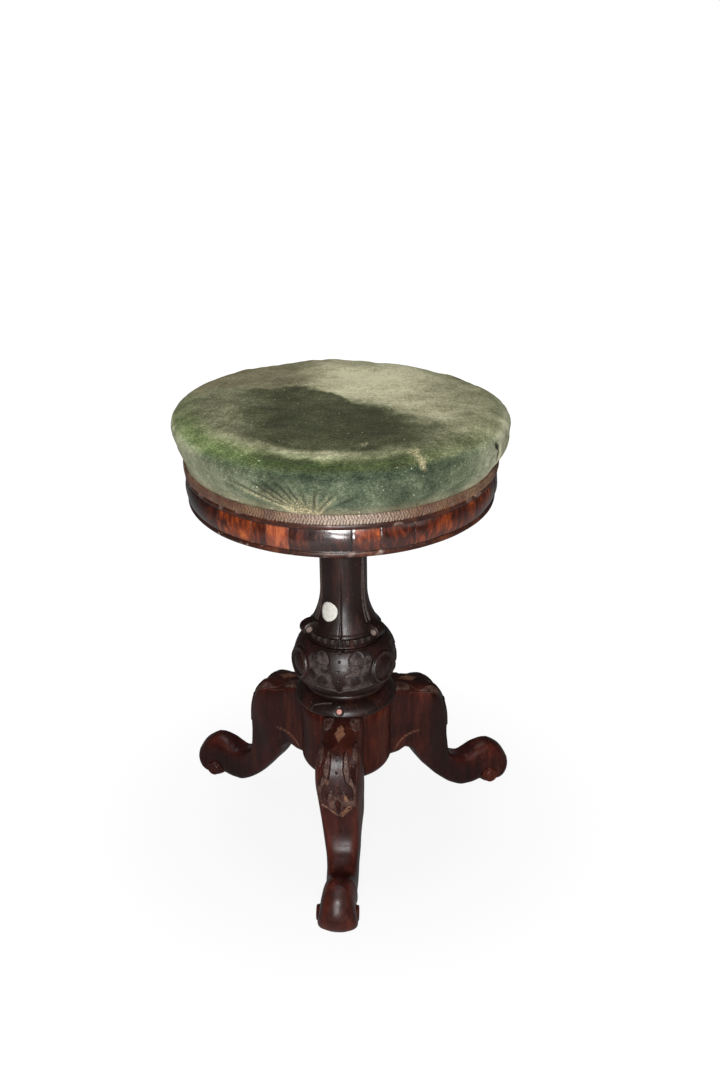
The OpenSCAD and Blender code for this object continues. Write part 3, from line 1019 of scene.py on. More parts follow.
@dataclass
class Legs:
    """Three carved scroll legs, let into the drum at their roots."""

    angles: dict[str, float] = field(
        default_factory=lambda: {"front": -90.0, "left": 151.5, "right": 27.5})
    pattern: KneePattern = KneePattern()
    top: float = 175.3 * MM
    crest: float = 171.8 * MM
    root_z: float = 84.5 * MM
    root_in: float = 45.84 * MM
    drum_r: float = 52 * MM
    knee: float = 124.5 * MM
    reach: float = 216 * MM
    root_w: float = 46 * MM
    knee_w: float = 50 * MM
    ankle_w: float = 30.5 * MM
    toe_w: float = 35 * MM
    pad_w: float = 43.5 * MM
    toe_h: float = 54 * MM
    instep: float = 44 * MM
    volute_r: float = 13.2 * MM
    volute_back: float = 30 * MM
    columns: int = 176
    fine: float = 0.9 * MM
    coarse: float = 1.9 * MM

    def rows(self) -> Array:
        """Sets out the sections from root to toe.

        Returns:
            Outer radius and height, inner radius and height, half width and squareness of each.
        """
        m, k, t, c, d = MM, self.knee, self.top, self.crest, self.drum_r
        i, z, h, e = self.instep, self.root_z, self.toe_h, self.reach
        root, knee, ankle = self.root_w / 2, self.knee_w / 2, self.ankle_w / 2
        toe, pad = self.toe_w / 2, self.pad_w / 2
        return np.array([
            (self.root_in, t, self.root_in, z, root, 9),
            (d + 4 * m, t, d + 5 * m, z, root, 7),
            (k - 42 * m, c - 2.5 * m, d + 16 * m, z + m, root + m, 4),
            (k - 21 * m, c - 8 * m, k - 45 * m, z - 6.5 * m, knee + m, 4),
            (k - 8 * m, c - 22 * m, k - 38 * m, z - 19 * m, knee + 0.4 * m, 4.4),
            (k - 2 * m, c - 39 * m, k - 31 * m, z - 30 * m, knee - 1.8 * m, 4.6),
            (k, c - 59 * m, k - 22 * m, z - 41 * m, knee - 3.6 * m, 4.6),
            (k + 0.5 * m, c - 79 * m, k - 12 * m, z - 53.5 * m, (knee + ankle) / 2 - 0.3 * m, 4.4),
            (k + 4 * m, i + 22 * m, k - m, 20.5 * m, ankle + 2.8 * m, 4.2),
            (k + 12 * m, i + 8 * m, k + 10 * m, 11.5 * m, ankle + 2 * m, 4),
            (e - 64 * m, i, e - 69 * m, 4 * m, ankle + 1.4 * m, 3.6),
            (e - 53 * m, i + 3.5 * m, e - 60 * m, 2 * m, ankle + 1.4 * m, 3.2),
            (e - 42 * m, h - 1.5 * m, e - 51 * m, m, toe + 0.8 * m, 2.6),
            (e - 27 * m, h, e - 44 * m, m, toe + m, 2.3),
            (e - 12 * m, h - 8 * m, e - 38 * m, 1.5 * m, toe + 1.6 * m, 2.25),
            (e - 3.5 * m, h - 20 * m, e - 34 * m, 2 * m, (toe + pad) / 2 + 0.8 * m, 2.2),
            (e - 0.5 * m, h - 31 * m, e - 31 * m, 2 * m, pad, 2.2),
            (e - 3.5 * m, h - 43 * m, e - 29 * m, 1.6 * m, pad - 1.5 * m, 2.2),
            (e - 10 * m, h - 51.5 * m, e - 27 * m, 1.2 * m, pad - 7.5 * m, 2.2)])

    def form(self) -> tuple[Array, Array, Array, Array]:
        """Lays the leg's surface along +X.

        Returns:
            Its points, each point's distance round the section from the middle of the
            outer face, how far back it lies, and each row's distance along the outer line.
        """
        dense = sweep(self.rows(), 24)
        run = running(dense[:, :2])
        stops, at = [0.0], 0.0
        while at < run[-1]:
            at += self.fine if at < 142 * MM or abs(at - 238 * MM) < 12 * MM else self.coarse
            stops.append(min(at, run[-1]))
        stops = np.array(stops)
        sections = np.stack([np.interp(stops, run, dense[:, k]) for k in range(6)], -1)
        turn = np.linspace(-math.pi, math.pi, 1441)
        points, rounds, depths = [], [], []
        for r1, z1, r2, z2, half, square in sections:
            deep = math.hypot(r1 - r2, z1 - z2) / 2
            size = (np.abs(np.cos(turn) / deep) ** square + np.abs(np.sin(turn) / half) ** square)
            size = size ** (-1 / square)
            back, side = size * np.cos(turn), size * np.sin(turn)
            along = running(np.stack([back, side], -1))
            steps = np.diff(along)
            along -= along[len(along) // 2]
            # three times as many points on the carved face as on the back
            carved = smoothstep(np.abs((along[1:] + along[:-1]) / 2), 34 * MM, 26 * MM)
            weight = np.r_[0, np.cumsum(steps * (1 + 3.2 * carved))]
            spots = np.interp(np.linspace(0, weight[-1], self.columns + 1), weight, along)
            u = np.interp(spots, along, back / deep)
            v = np.interp(spots, along, side)
            points.append(np.stack([(r1 + r2) / 2 + (r1 - r2) / 2 * u, v,
                                    (z1 + z2) / 2 + (z1 - z2) / 2 * u], -1))
            rounds.append(spots)
            depths.append((1 - u) / 2)
        return np.array(points), np.array(rounds), np.array(depths), stops

    def carve(self, across: Array, along: Array, seed: int) -> Carving:
        """Carves the knee's outer face: lobes, a diamond, leaves and a tongue on a punched ground.

        Args:
            across: Signed distance from the middle of the outer face.
            along: Distance from the drum along the outer line.
            seed: Which of the three hands' wobbles it has.

        Returns:
            The carving.
        """
        spot = np.stack([across, along, np.zeros_like(across)], -1)
        u = np.abs(across + 0.3 * MM * ripple(spot, 17 * MM, seed))
        v = along + 0.45 * MM * ripple(spot, 23 * MM, seed + 1)
        c = Carving(u, v)
        self.carve_ground(c)
        self.carve_relief(c)
        # pink chips where the polish has gone
        for at in self.pattern.chips:
            far = np.hypot(across / MM - at[0], (v / MM - at[1]) * 0.6)
            c.rub(0.75 * smoothstep(far, 2.6, 1.4))
        # the border's folded ribbon, worn to the bare wood, with painted shade beside it
        for side, wide, ribbon in self.pattern.ribbons:
            far = Carving(side * across, v).from_line(stroke(ribbon))
            c.height += 0.5 * MM * bell(far, wide * MM)
            c.rub(0.85 * smoothstep(far, (wide + 0.4) * MM, (wide - 0.4) * MM)
                  * smoothstep(ripple(spot, 8 * MM, seed + 5 + side), -0.9, -0.2))
            # painted shade beside the ribbon
            c.darken(0.7 * bell(far - (wide + 0.8) * MM, 0.5 * MM))
        # darker polish left between the carvings' top and the tongue
        c.darken(0.5 * smoothstep(v, 60 * MM, 44 * MM) * (c.ground < 0.2)
                 * smoothstep(u, 24 * MM, 20 * MM))
        self.carve_toe(c)
        return c

    def carve_ground(self, c: Carving) -> None:
        """Sinks the punched grounds round the tongue and the leaves, and chips the diamond out.

        Args:
            c: The carving.
        """
        p = self.pattern
        tongue = c.within(shape(p.tongue))
        c.sink(np.minimum(c.within(np.array(p.foot) * MM), -tongue), MM)
        c.sink(np.minimum(c.within(shape(p.inner_leaf)), -tongue - 0.3 * MM), MM)
        c.sink(c.within(shape(p.half_moon)), 0.9 * MM)
        c.sink(c.within(shape(p.top_leaf)), 0.8 * MM)
        c.cut(stroke(p.curl), MM, 0.5 * MM)
        diamond = c.within(shape(p.diamond, 3))
        c.sink(diamond, 0.9 * MM, punched=0.3)
        c.rub(0.7 * smoothstep(diamond, 0.3 * MM, 1.6 * MM))

    def carve_relief(self, c: Carving) -> None:
        """Leaves lobes, tongue and stem standing, draws the ribs and drills the eyes.

        Args:
            c: The carving.
        """
        p = self.pattern
        tongue = c.within(shape(p.tongue))
        c.leave(c.within(shape(p.lobe)), MM)
        c.leave(tongue, 0.7 * MM, 7 * MM)
        c.darken(0.4 * smoothstep(tongue, 0, MM))
        c.leave(c.within(shape(p.stem)), 1.1 * MM)
        c.fillet(stroke(p.rib), 1.3 * MM, 0.5 * MM)
        c.fillet(stroke(p.edge_rib), MM, 0.3 * MM, 0.35)
        c.cut(np.array(p.middle) * MM, 1.1 * MM, 0.6 * MM)
        c.cut(stroke(p.vein), 0.8 * MM, 0.35 * MM)
        for at, size in p.eyes:
            c.drill(at * MM, size * MM)

    def carve_toe(self, c: Carving) -> None:
        """Lays the shin's end over the ball of the toe, whose own lip shows below with painted
        shade along it.

        Args:
            c: The carving.
        """
        u, v = c.u / MM, c.v / MM
        c.cut(stroke(self.pattern.sole), 1.2 * MM, 0.4 * MM)
        over = smoothstep(v - 232 - 0.045 * u ** 2, 0, 14) * smoothstep(v, 300, 275)
        c.height += 0.9 * MM * over * smoothstep(u, 19, 6)
        lip = c.from_line(stroke(self.pattern.lip))
        # painted shade along the lip
        c.darken(0.35 * bell(lip, 1.2 * MM))
        c.height -= 0.3 * MM * bell(lip, 1.6 * MM)

    def side_relief(self, points: Array) -> tuple[Array, Array]:
        """Shapes the arc fillet that springs from the drum on each flat side.

        Args:
            points: The leg's points along +X.

        Returns:
            How far each point rises and how worn it is.
        """
        flat = smoothstep(np.abs(points[..., 1]), 20 * MM, 22.5 * MM)
        side = Carving(points[..., 0], points[..., 2])
        fade = smoothstep(points[..., 0], 90 * MM, 72 * MM)
        far = side.from_line(stroke(self.pattern.side_arc))
        lobe = side.within(stroke(self.pattern.side_lobe, 5))
        rise = 0.8 * MM * bell(far, 1.3 * MM) * fade + 0.9 * MM * smoothstep(lobe, -MM, 5 * MM)
        return rise * flat, 0.6 * bell(far, MM) * fade * flat

    def roll(self, bm: Mesh) -> None:
        """Adds the toe's rolled underside with its two buttons.

        Args:
            bm: The leg's mesh, along +X.
        """
        centre = (self.reach - self.volute_back, 0, self.volute_r - 0.9 * MM)
        at = Matrix.Translation(centre) @ Matrix.Rotation(math.pi / 2, 4, "X")
        half, size = self.pad_w / 2 + 1.2 * MM, self.volute_r / 12
        rim = [(0, 0.4), (2.4, 0.7), (4.4, 1.2), (5.6, 0.8), (6.3, 0.1), (7, 0.1), (7.6, 0.8),
               (7.9, 2.6), (8.3, 3.4), (9.2, 5.2), (10.3, 8.2), (11.4, 12.5), (12, 18)]
        core = [(x * size, y * MM - half) for x, y in rim]
        turn_into(bm, core + [(x, -y) for x, y in core[::-1]], 64, place=at)
        for vert in bm.verts:  # worn flat where it stands
            vert.co.z = max(vert.co.z, 0.0)

    def sway(self, along: Array, depth: Array) -> Array:
        """Finds how the front leg stands off its radius, by the carver's hand.

        Args:
            along: Each point's distance from the drum along the outer line.
            depth: How far back it lies in its section, from 0 outside to 1 inside.

        Returns:
            Its shift to the side.
        """
        outer = np.interp(along / MM, [0, 40, 75, 110, 150, 180, 215, 240],
                          [0, -2.2, -3.6, -2.4, 0.4, 2.0, 2.0, 0.6])
        inner = np.interp(along / MM, [0, 60, 90, 130, 170, 215, 240],
                          [0, 0, 1.5, 3.4, 3.8, 3.2, 0.6])
        return (outer + (inner - outer) * depth) * MM

    def build(self, side: str, seed: int) -> Piece:
        """Builds one leg with its carving.

        Args:
            side: Which leg it is.
            seed: Its own wobble.

        Returns:
            The leg.
        """
        points, rounds, depth, stops = self.form()
        along = np.repeat(stops[:, None], points.shape[1], 1) - (self.drum_r - self.root_in)
        off = np.abs(rounds)
        carving = self.carve(rounds, along, seed)
        rise, worn = self.side_relief(points)
        carving.height += rise
        carving.rub(worn)
        rub = 0.7 * bell(off - 14 * MM, 4 * MM) + 0.5 * smoothstep(along, 262 * MM, 290 * MM)
        rub = rub * smoothstep(along, 118 * MM, 160 * MM)
        rub += 0.35 * smoothstep(along, 66 * MM, 50 * MM) * (off < 22 * MM)
        front = side == "front"
        if front:
            fold = smoothstep(off, 18 * MM, 8 * MM) * bell(along - 229 * MM, 8 * MM)
            carving.height -= MM * fold
            # painted light: the front leg's flat sides turned redder, as where the lamp falls on
            # them
            rub += 0.8 * smoothstep(off, 22 * MM, 26 * MM)
        else:
            # painted shade on the side legs' flat sides
            carving.darken(0.42 * smoothstep(off, 24 * MM, 30 * MM) * (worn < 0.1))
        sheet = Sheet(points, carving.marks() | {"rub": rub})
        sheet.push(carving.height + 0.25 * MM * ripple(points, 45 * MM, seed + 9))
        if front:
            sheet.points[..., 1] += self.sway(along, depth)
            sheet.points[..., 0] += 5 * MM * bell(along - 204 * MM, 22 * MM)
        bm = bmesh.new()
        sheet.into(bm)
        self.roll(bm)
        bmesh.ops.transform(bm, matrix=turn_about_z(self.angles[side]), verts=bm.verts)
        return finish_mesh(f"carved_leg_{side}", bm)

    def make(self) -> None:
        """Builds and dresses the three legs."""
        wood = LEG_WOOD.material()
        for seed, side in enumerate(self.angles):
            leg = self.build(side, 11 + seed * 7)
            hand_over(leg, wood, Body.BASE, "leg_wood", f"leg_{side}")


# ---- drum, collar and peg


@dataclass
class Drum:
    """The drum that the legs are let into, the collar over it and the collar's peg."""

    radius: float = 52 * MM
    low: float = 77 * MM
    top: float = 175.5 * MM
    bowl: float = 20 * MM
    flat: float = 20 * MM
    collar_r: float = 57.5 * MM
    collar_top: float = 187.5 * MM
    inner: float = 22.1 * MM
    peg_z: float = 182.46 * MM
    peg_lean: float = 27.0
    turn: float = -94.0
    nose: Outline = ((-0.6, -1.2), (0.2, 0.6), (0, 2.4), (-1.8, 5.6), (-5.5, 9), (-10, 11.4),
                     (-14.2, 12))
    crack: Outline = ((-33, 0.5), (-34, 4), (-32.5, 7), (-27, 9.2), (-20, 10.6), (-12, 11.3))

    def build_drum(self) -> Piece:
        """Turns the drum with its rounded bowl underneath.

        Returns:
            The drum.
        """
        r, top = self.radius, self.top - 0.2 * MM
        bowl = arc(self.flat, self.low + self.bowl, r - self.flat, self.bowl, -90, 0, 24)
        line = [(0, self.low), *bowl, (r, self.low + self.bowl + 20 * MM), (r, self.top - 20 * MM),
                (r, top), (0, top)]
        return turned("turned_drum", line, 160)

    def build_collar(self) -> Piece:
        """Turns the collar and cuts the old crack across its left front.

        Returns:
            The collar.
        """
        m = MM
        nose = sweep([(self.collar_r + r * m, self.top + z * m) for r, z in self.nose], 6)
        outline = np.array([(self.inner, self.top), (self.collar_r - 3 * m, self.top), *nose,
                            (self.inner, self.collar_top)])
        hoop = Hoop(resample(outline, np.linspace(0, running(outline)[-1], 110)), 360)
        angle = signed(hoop.angle - self.turn)
        c = Carving(angle * m, hoop.z - self.top)
        c.fillet(stroke(self.crack), 1.1 * m, 0.25 * m, 0.4)
        # the peg's hole, sunk, with painted shade in it
        hole = np.hypot(span(angle, self.collar_r - 2 * m),
                        (c.v - (self.peg_z - self.top) + 0.8 * m) * 1.1)
        c.height -= 0.9 * m * smoothstep(hole, 4.9 * m, 3.6 * m)
        c.darken(smoothstep(hole, 4.9 * m, 4.1 * m))
        outer = smoothstep(hoop.radius, 42 * m, 46 * m)
        c.height *= outer
        c.wear *= outer
        sheet = Sheet(hoop.points, c.marks())
        sheet.push(c.height)
        return sheet.build("turned_collar")

    def build_peg(self) -> Piece:
        """Turns the peg, whose worn end lies in a hole with painted shade, flush with the collar's
        round nose.

        Returns:
            The peg.
        """
        face = [(0, 0), (0.8, 0), (1.6, 0), (2.3, 0), (2.9, -0.25), (3.1, -1), (3.1, -24), (0, -24)]
        bm = bmesh.new()
        mouth = Matrix.Translation((self.collar_r - 1.9 * MM, 0, self.peg_z - 0.5 * MM))
        lean = Matrix.Rotation(math.pi / 2 - math.radians(self.peg_lean), 4, "Y")
        turn_into(bm, [(r * MM, z * MM) for r, z in face], 40,
                  place=turn_about_z(self.turn) @ mouth @ lean)
        return finish_mesh("collar_peg_end", bm)

    def make(self) -> None:
        """Builds and dresses the three pieces."""
        drum, collar, peg = self.build_drum(), self.build_collar(), self.build_peg()
        hand_over(drum, DRUM_WOOD.material(), Body.BASE, "leg_wood", "drum")
        hand_over(collar, COLUMN_WOOD.material(), Body.BASE, "column_wood", "collar")
        hand_over(peg, PEG_WOOD.material(), Body.BASE, "peg_wood", "collar_peg")


# ---- column


@dataclass(frozen=True)
class BulbPattern:
    """The carver's pattern for a third of the bulb: across and up, in millimetres."""

    scroll: Place = (21, 19.5, 8.6)
    ground: Outline = ((28, 21), (37.5, 24), (41, 14), (43, 4), (42, -6), (41, -10), (30, -11.5),
                       (20, -12.5), (11, -14.5), (3, -17), (4, -9), (8, -3), (6.5, 3), (9, 7),
                       (15, 9), (11, 13), (17, 15))
    outer_leaf: Outline = ((33, 8), (36, 3), (34, -3), (29, -4), (27, 1), (29, 6))
    inner_leaf: Outline = ((16, 3), (22, 1), (24, -5), (18, -8), (13, -4))
    hem: Outline = ((0, -17.5), (8, -15), (20, -13), (32, -12), (41, -10.5))
    hem_foot: Outline = ((0, -19), (8, -17), (20, -15), (32, -14), (42, -12.5))
    eyes: Outline = ((28.5, 0.8), (20.5, 1.2), (10.5, 0.7), (0.5, 0.7))
    bead: Outline = ((-1.9, 4.2), (-2.1, 0), (-0.9, -2.6), (0.9, -2.6), (2.1, 0), (1.9, 4.2))
    boss: Outline = ((0, 0.9), (0.3, 0.6), (0.6, -0.5), (0.8, -1.4), (0.9, 1.4), (1.0, 2.0),
                     (1.08, 1.4), (1.16, -0.8), (1.3, 0))


@dataclass
class Column:
    """The turned column with its carved bulb, bead course, lappets and scroll ears."""

    foot: float = 187.5 * MM
    tenon_r: float = 21.9 * MM
    tenon: float = 60 * MM
    torus_r: float = 46.3 * MM
    torus_h: float = 10.5 * MM
    bulb_r: float = 59 * MM
    bulb_round: float = 42 * MM
    bulb_low: float = 198 * MM
    bulb_mid: float = 224.2 * MM
    bulb_top: float = 255 * MM
    carved_r: float = 57 * MM
    course_r: float = 41.6 * MM
    course_top: float = 265.5 * MM
    lappet_r: float = 39.8 * MM
    neck_r: float = 26.1 * MM
    flare_top: float = 312 * MM
    astragal: float = 360 * MM
    astragal_r: float = 2.5 * MM
    cap_r: float = 33 * MM
    cap_h: float = 22 * MM
    top: float = 410 * MM
    flange_r: float = 25.2 * MM
    flange_h: float = 3.05 * MM
    nut_r: float = 16.2 * MM
    nut_h: float = 32 * MM
    cabochon_r: float = 17 * MM
    ear_half: float = 6.6 * MM
    label_z: float = 291.5 * MM
    label_half: Point = (10.8 * MM, 10.6 * MM)
    turn: float = -93.5
    columns: int = 400
    pattern: BulbPattern = BulbPattern()
    ear_leaf: Outline = ((-9, 0), (-9.5, 7), (-6, 12), (-1, 13), (5.2, 11.8), (10.2, 8.6), (12, 4),
                         (11, -0.4), (7.4, -2.4), (2, -2), (-4, -1.5), (-9, 0))
    ear_button: Outline = ((0, 2.2), (1.7, 2.0), (3.3, 1.3), (4.2, 0.2), (4.4, -1), (4.4, -3),
                           (0, -3))

    def outline(self) -> tuple[list[Point], list[Point], list[Point]]:
        """Sets out the profile from the tenon up to the cap, as (radius, height).

        Returns:
            What is hidden below the torus, what is seen, and what is hidden in the top.
        """
        m = MM
        mid, round_t = self.foot + self.torus_h * 0.55, self.torus_h * 0.32
        low = -math.degrees(math.asin((self.bulb_mid - self.bulb_low) / self.bulb_round))
        high = math.degrees(math.asin((self.bulb_top - self.bulb_mid) / self.bulb_round))
        rise, out = self.flare_top - self.course_top, self.lappet_r - self.neck_r
        flare = (rise ** 2 + out ** 2) / (2 * out)
        lean = math.degrees(math.asin(rise / flare))
        cap = self.top - self.cap_h
        below = [(0, self.foot - self.tenon), (self.tenon_r, self.foot - self.tenon),
                 (self.tenon_r, self.foot + 0.1 * m), (self.torus_r - 3 * m, self.foot + 0.1 * m),
                 (self.torus_r - 4 * m, mid - round_t)]
        seen = [*arc(self.torus_r - round_t, mid, round_t, round_t, -80, 80, 12),
                *arc(self.bulb_r - self.bulb_round, self.bulb_mid, self.bulb_round, self.bulb_round,
                     low, high, 60),
                (self.course_r, self.bulb_top), (self.course_r, self.course_top - 0.4 * m),
                (self.lappet_r, self.course_top + 0.3 * m),
                *arc(self.neck_r + flare, self.flare_top, flare, flare, 180 + lean - 1, 180, 40),
                (self.neck_r, self.astragal - self.astragal_r),
                *arc(self.neck_r, self.astragal, self.astragal_r, self.astragal_r, -90, 90, 10),
                (self.neck_r, cap),
                *arc(self.cap_r, cap, self.cap_r - self.neck_r, 8 * m, 180, 90, 8),
                *arc(self.cap_r - 2 * m, self.top - 2 * m, 2 * m, 2 * m, 0, 90, 6)]
        above = [(self.flange_r, self.top), (self.flange_r, self.top - self.flange_h),
                 (self.nut_r, self.top - self.flange_h), (self.nut_r, self.top - self.nut_h),
                 (0, self.top - self.nut_h)]
        return below, seen, above

    def carve(self, angle: Array, z: Array, radius: Array) -> Carving:
        """Carves bulb, course and lappets; the work repeats over each leg.

        Args:
            angle: Degrees from the front panel's middle.
            z: Height of each point.
            radius: Radius of each point.

        Returns:
            The carving.
        """
        p, third = self.pattern, (angle + 60) % 120 - 60
        spot = np.stack([third * 0.9 * MM, z, 0.3 * MM * angle], -1)
        u = span(np.abs(third + 0.5 * ripple(spot, 21 * MM, 3)), self.carved_r)
        c = Carving(u, z - self.bulb_mid + 0.35 * MM * ripple(spot, 19 * MM, 4))
        # round scroll field and the punched ground below it, beside a smooth middle leaf
        x, y, size = p.scroll
        scroll = c.within(np.array(arc(x, y, size, size, 0, 348, 30)) * MM)
        c.sink(np.maximum(scroll, c.within(shape(p.ground, 4))), 0.9 * MM)
        for leaf in (p.outer_leaf, p.inner_leaf):
            c.leave(c.within(shape(leaf)), 0.8 * MM)
        c.cut(np.array(arc(x, y, size + 0.3, size + 0.3, -60, 200, 24)) * MM, MM, 0.5 * MM)
        c.fillet(stroke(p.hem), 1.8 * MM, 0.5 * MM, 0.45)
        c.cut(stroke(p.hem_foot), MM, 0.5 * MM)
        for at, size in p.eyes:
            c.drill(at * MM, size * MM)
        on_bulb = (z > self.bulb_low) & (z < self.bulb_top) & (radius > 30 * MM)
        for work in (c.height, c.ground, c.wear, c.shade):
            work *= on_bulb
        self.carve_course(c, third, z, radius)
        self.carve_lappet(c, third, z, radius)
        self.carve_cabochons(c, angle, z)
        return c

    def carve_course(self, c: Carving, third: Array, z: Array, radius: Array) -> None:
        """Cuts the small beads of the course below the lappets and the V in its middle.

        Args:
            c: The carving.
            third: Degrees from the middle of each third.
            z: Height of each point.
            radius: Radius of each point.
        """
        m, low, high = MM, self.bulb_top, self.course_top
        on = smoothstep(z, low - 2.5 * m, low) * smoothstep(z, high + 0.4 * m, high - 0.6 * m)
        on = on * (radius > 39.9 * m)
        bead = Carving(span((third + 6) % 12 - 6, self.course_r), z - high + 5 * m)
        round_in = bead.within(np.array(self.pattern.bead) * m)
        share = smoothstep(round_in, -0.3 * m, 0.5 * m) * (np.abs(third) > 9) * (np.abs(third) < 54)
        c.height += on * (m * share - 0.6 * m)
        scattered = third * z * 7919 / m % 7 < 4  # a prime, so that no two beads wear alike
        c.rub(on * share * 0.22 * scattered)
        # painted shade round each bead
        c.darken(on * 0.75 * bell(round_in + 0.4 * m, 0.7 * m) * (np.abs(third) > 5))
        notch = Carving(span(np.abs(third), self.course_r), z)
        slant = [(0, high + m), (2.4 * m, low + 3 * m), (3.6 * m, low - m)]
        notch.cut(slant, 1.3 * m, 0.9 * m)
        notch.cut([(0, high + m), (0, low + m)], 0.9 * m, 0.6 * m)
        c.height += notch.height * on
        c.darken(notch.shade * on)

    def carve_lappet(self, c: Carving, third: Array, z: Array, radius: Array) -> None:
        """Cuts each lappet's middle groove and raises the edges that run down to the ears, with
        painted shade in the groove, beside the edges and along the lappets' foot.

        Args:
            c: The carving.
            third: Degrees from the middle of each third.
            z: Height of each point.
            radius: Radius of each point.
        """
        m = MM
        on = smoothstep(z, self.course_top, self.course_top + m)
        on = on * (radius < 40.4 * m) * (radius > 20 * m)
        middle = on * smoothstep(z, 350 * m, 310 * m)
        off_mid = span(np.abs(third), radius)
        wide = (0.7 + 0.9 * smoothstep(z, 285 * m, 268 * m)) * m
        c.height -= 1.1 * m * bell(off_mid, wide) * middle
        # painted shade in the groove
        c.darken(bell(off_mid, 0.8 * wide) * middle)
        edge_at = np.interp(z / m, [262, 280, 312, 345, 372], [54.5, 55, 56, 57.5, 60])
        off = span(np.abs(third) - edge_at, radius)
        edge = on * smoothstep(z, 372 * m, 350 * m)
        c.height += edge * m * (bell(off, m) - 1.2 * smoothstep(off, 0.3 * m, 1.6 * m))
        c.rub(edge * 0.4 * bell(off, 0.7 * m))
        # painted shade beside the edges
        c.darken(edge * 0.9 * bell(off - 1.6 * m, 0.9 * m))
        low = (z - self.course_top) / m
        c.height += on * 0.6 * m * bell(low - 1.5, 1.4)
        brim = (radius > 39 * m) & (radius < 42 * m) & (np.abs(third) < 54)
        # painted shade along the lappets' foot
        c.darken(0.8 * bell(low, 0.7) * brim)

    def carve_cabochons(self, c: Carving, angle: Array, z: Array) -> None:
        """Cuts the three round dished bosses that stand between the panels, with rings of painted
        shade inside and outside their rims.

        Args:
            c: The carving.
            angle: Degrees from the front panel's middle.
            z: Height of each point.
        """
        places, heights = zip(*self.pattern.boss)
        for at in (-58, 57, 180):
            off = span(signed(angle - at), self.carved_r)
            far = np.hypot(off, (z - self.bulb_mid - 3.5 * MM) * 1.02) / self.cabochon_r
            near = far < 1.35
            c.height = np.where(near, np.interp(far, places, heights) * MM, c.height)
            c.ground = np.where(near, 0, c.ground)
            # painted shade: dark rings inside the dish edge and outside the rim
            dark = 0.6 * bell(far - 0.84, 0.045) + 0.5 * bell(far - 1.14, 0.05)
            c.shade = np.where(near, dark, c.shade)
            c.wear = np.where(near, 0.1 * bell(far - 0.98, 0.05), c.wear)

    def build(self) -> Piece:
        """Turns and carves the column.

        Returns:
            The column.
        """
        below, seen, above = self.outline()
        line = np.array(below + seen + above)
        run = running(line)
        start, end = run[len(below) - 1], run[-len(above) - 1]
        stops, at = list(run), 0.0
        while at < run[-1]:
            hidden = at < run[len(below) - 2] or at > run[-len(above)]
            low = np.interp(at, run, line[:, 1]) < 275 * MM
            at += 6 * MM if hidden else (0.8 * MM if low else 1.6 * MM)
            stops.append(min(at, run[-1]))
        stops = np.unique(np.round(stops, 7))
        hoop = Hoop(resample(line, stops), self.columns)
        c = self.carve(signed(hoop.angle - self.turn), hoop.z, hoop.radius)
        c.height *= ((stops > start) & (stops < end))[:, None]
        sheet = Sheet(hoop.points, c.marks())
        sheet.push(c.height)
        return sheet.build("carved_column")

    def build_ear(self, side: str, at: float) -> Piece:
        """Builds one scroll ear: a curled leaf across the column, a button at each end of its eye.

        Args:
            side: Which ear it is.
            at: Its place in degrees from the front panel's middle.

        Returns:
            The ear.
        """
        half, m = self.ear_half, MM
        turn = turn_about_z(self.turn + at)
        base = np.array([self.lappet_r, self.course_top])
        leaf, middle = stroke(self.ear_leaf, 5) + base, base + np.array([3, 6]) * m
        rows = []
        for t in np.linspace(-1, 1, 17):
            inset = 1 - 0.13 * smoothstep(abs(t), 0.72, 1.0) ** 2 - 0.03 * (1 - t * t)
            ring = middle + (leaf - middle) * inset
            rows.append(np.stack([ring[:, 0], np.full(len(ring), half * t), ring[:, 1]], -1))
        bm = bmesh.new()
        Sheet(np.array(rows) @ np.array(turn.to_3x3()).T, {}).into(bm)
        eye = Matrix.Translation((self.lappet_r + 5.2 * m, 0, self.course_top + 4.2 * m))
        for way in (-1, 1):
            turn_into(bm, [(r * m, half + z * m) for r, z in self.ear_button], 28,
                      place=turn @ eye @ Matrix.Rotation(-way * math.pi / 2, 4, "X"))
        ear = finish_mesh(f"scroll_ear_carved_{side}", bm)
        across = (positions(ear.data) @ np.array(turn.to_3x3()))[:, 1]
        set_mark(ear, "wear", 0.75 * smoothstep(np.abs(across), half + 0.1 * m, half + 0.8 * m))
        return ear

    def build_label(self) -> Piece:
        """Lays a blank oval paper label on the left half of the front lappet.

        Returns:
            The label.
        """
        bm = bmesh.new()
        bmesh.ops.create_circle(bm, cap_ends=True, segments=48, radius=1.0)
        bmesh.ops.inset_region(bm, faces=bm.faces[:], thickness=0.06, depth=0)
        for _ in range(2):
            bmesh.ops.poke(bm, faces=[f for f in bm.faces if len(f.verts) > 4])
            bmesh.ops.subdivide_edges(bm, edges=bm.edges[:], cuts=1, use_grid_fill=True)
        neck = np.array([(r, z) for r, z in self.outline()[1] if z > self.course_top])
        tilt, middle = math.radians(14), math.radians(-90 - 32)
        wide, tall = self.label_half
        for vert in bm.verts:
            x, y = vert.co.x, vert.co.y
            z = self.label_z + (y * math.cos(tilt) - x * math.sin(tilt)) * tall
            across = (x * math.cos(tilt) + y * math.sin(tilt)) * wide
            radius = float(np.interp(z, neck[:, 1], neck[:, 0])) + 0.25 * MM
            turn = middle + across / radius
            vert.co = (radius * math.cos(turn), radius * math.sin(turn), z)
        bmesh.ops.recalc_face_normals(bm, faces=bm.faces[:])
        label = finish_mesh("blank_paper_label", bm)
        skin = label.modifiers.new("paper", "SOLIDIFY")
        skin.thickness, skin.offset = 0.3 * MM, 0.0
        baked(label)
        return label

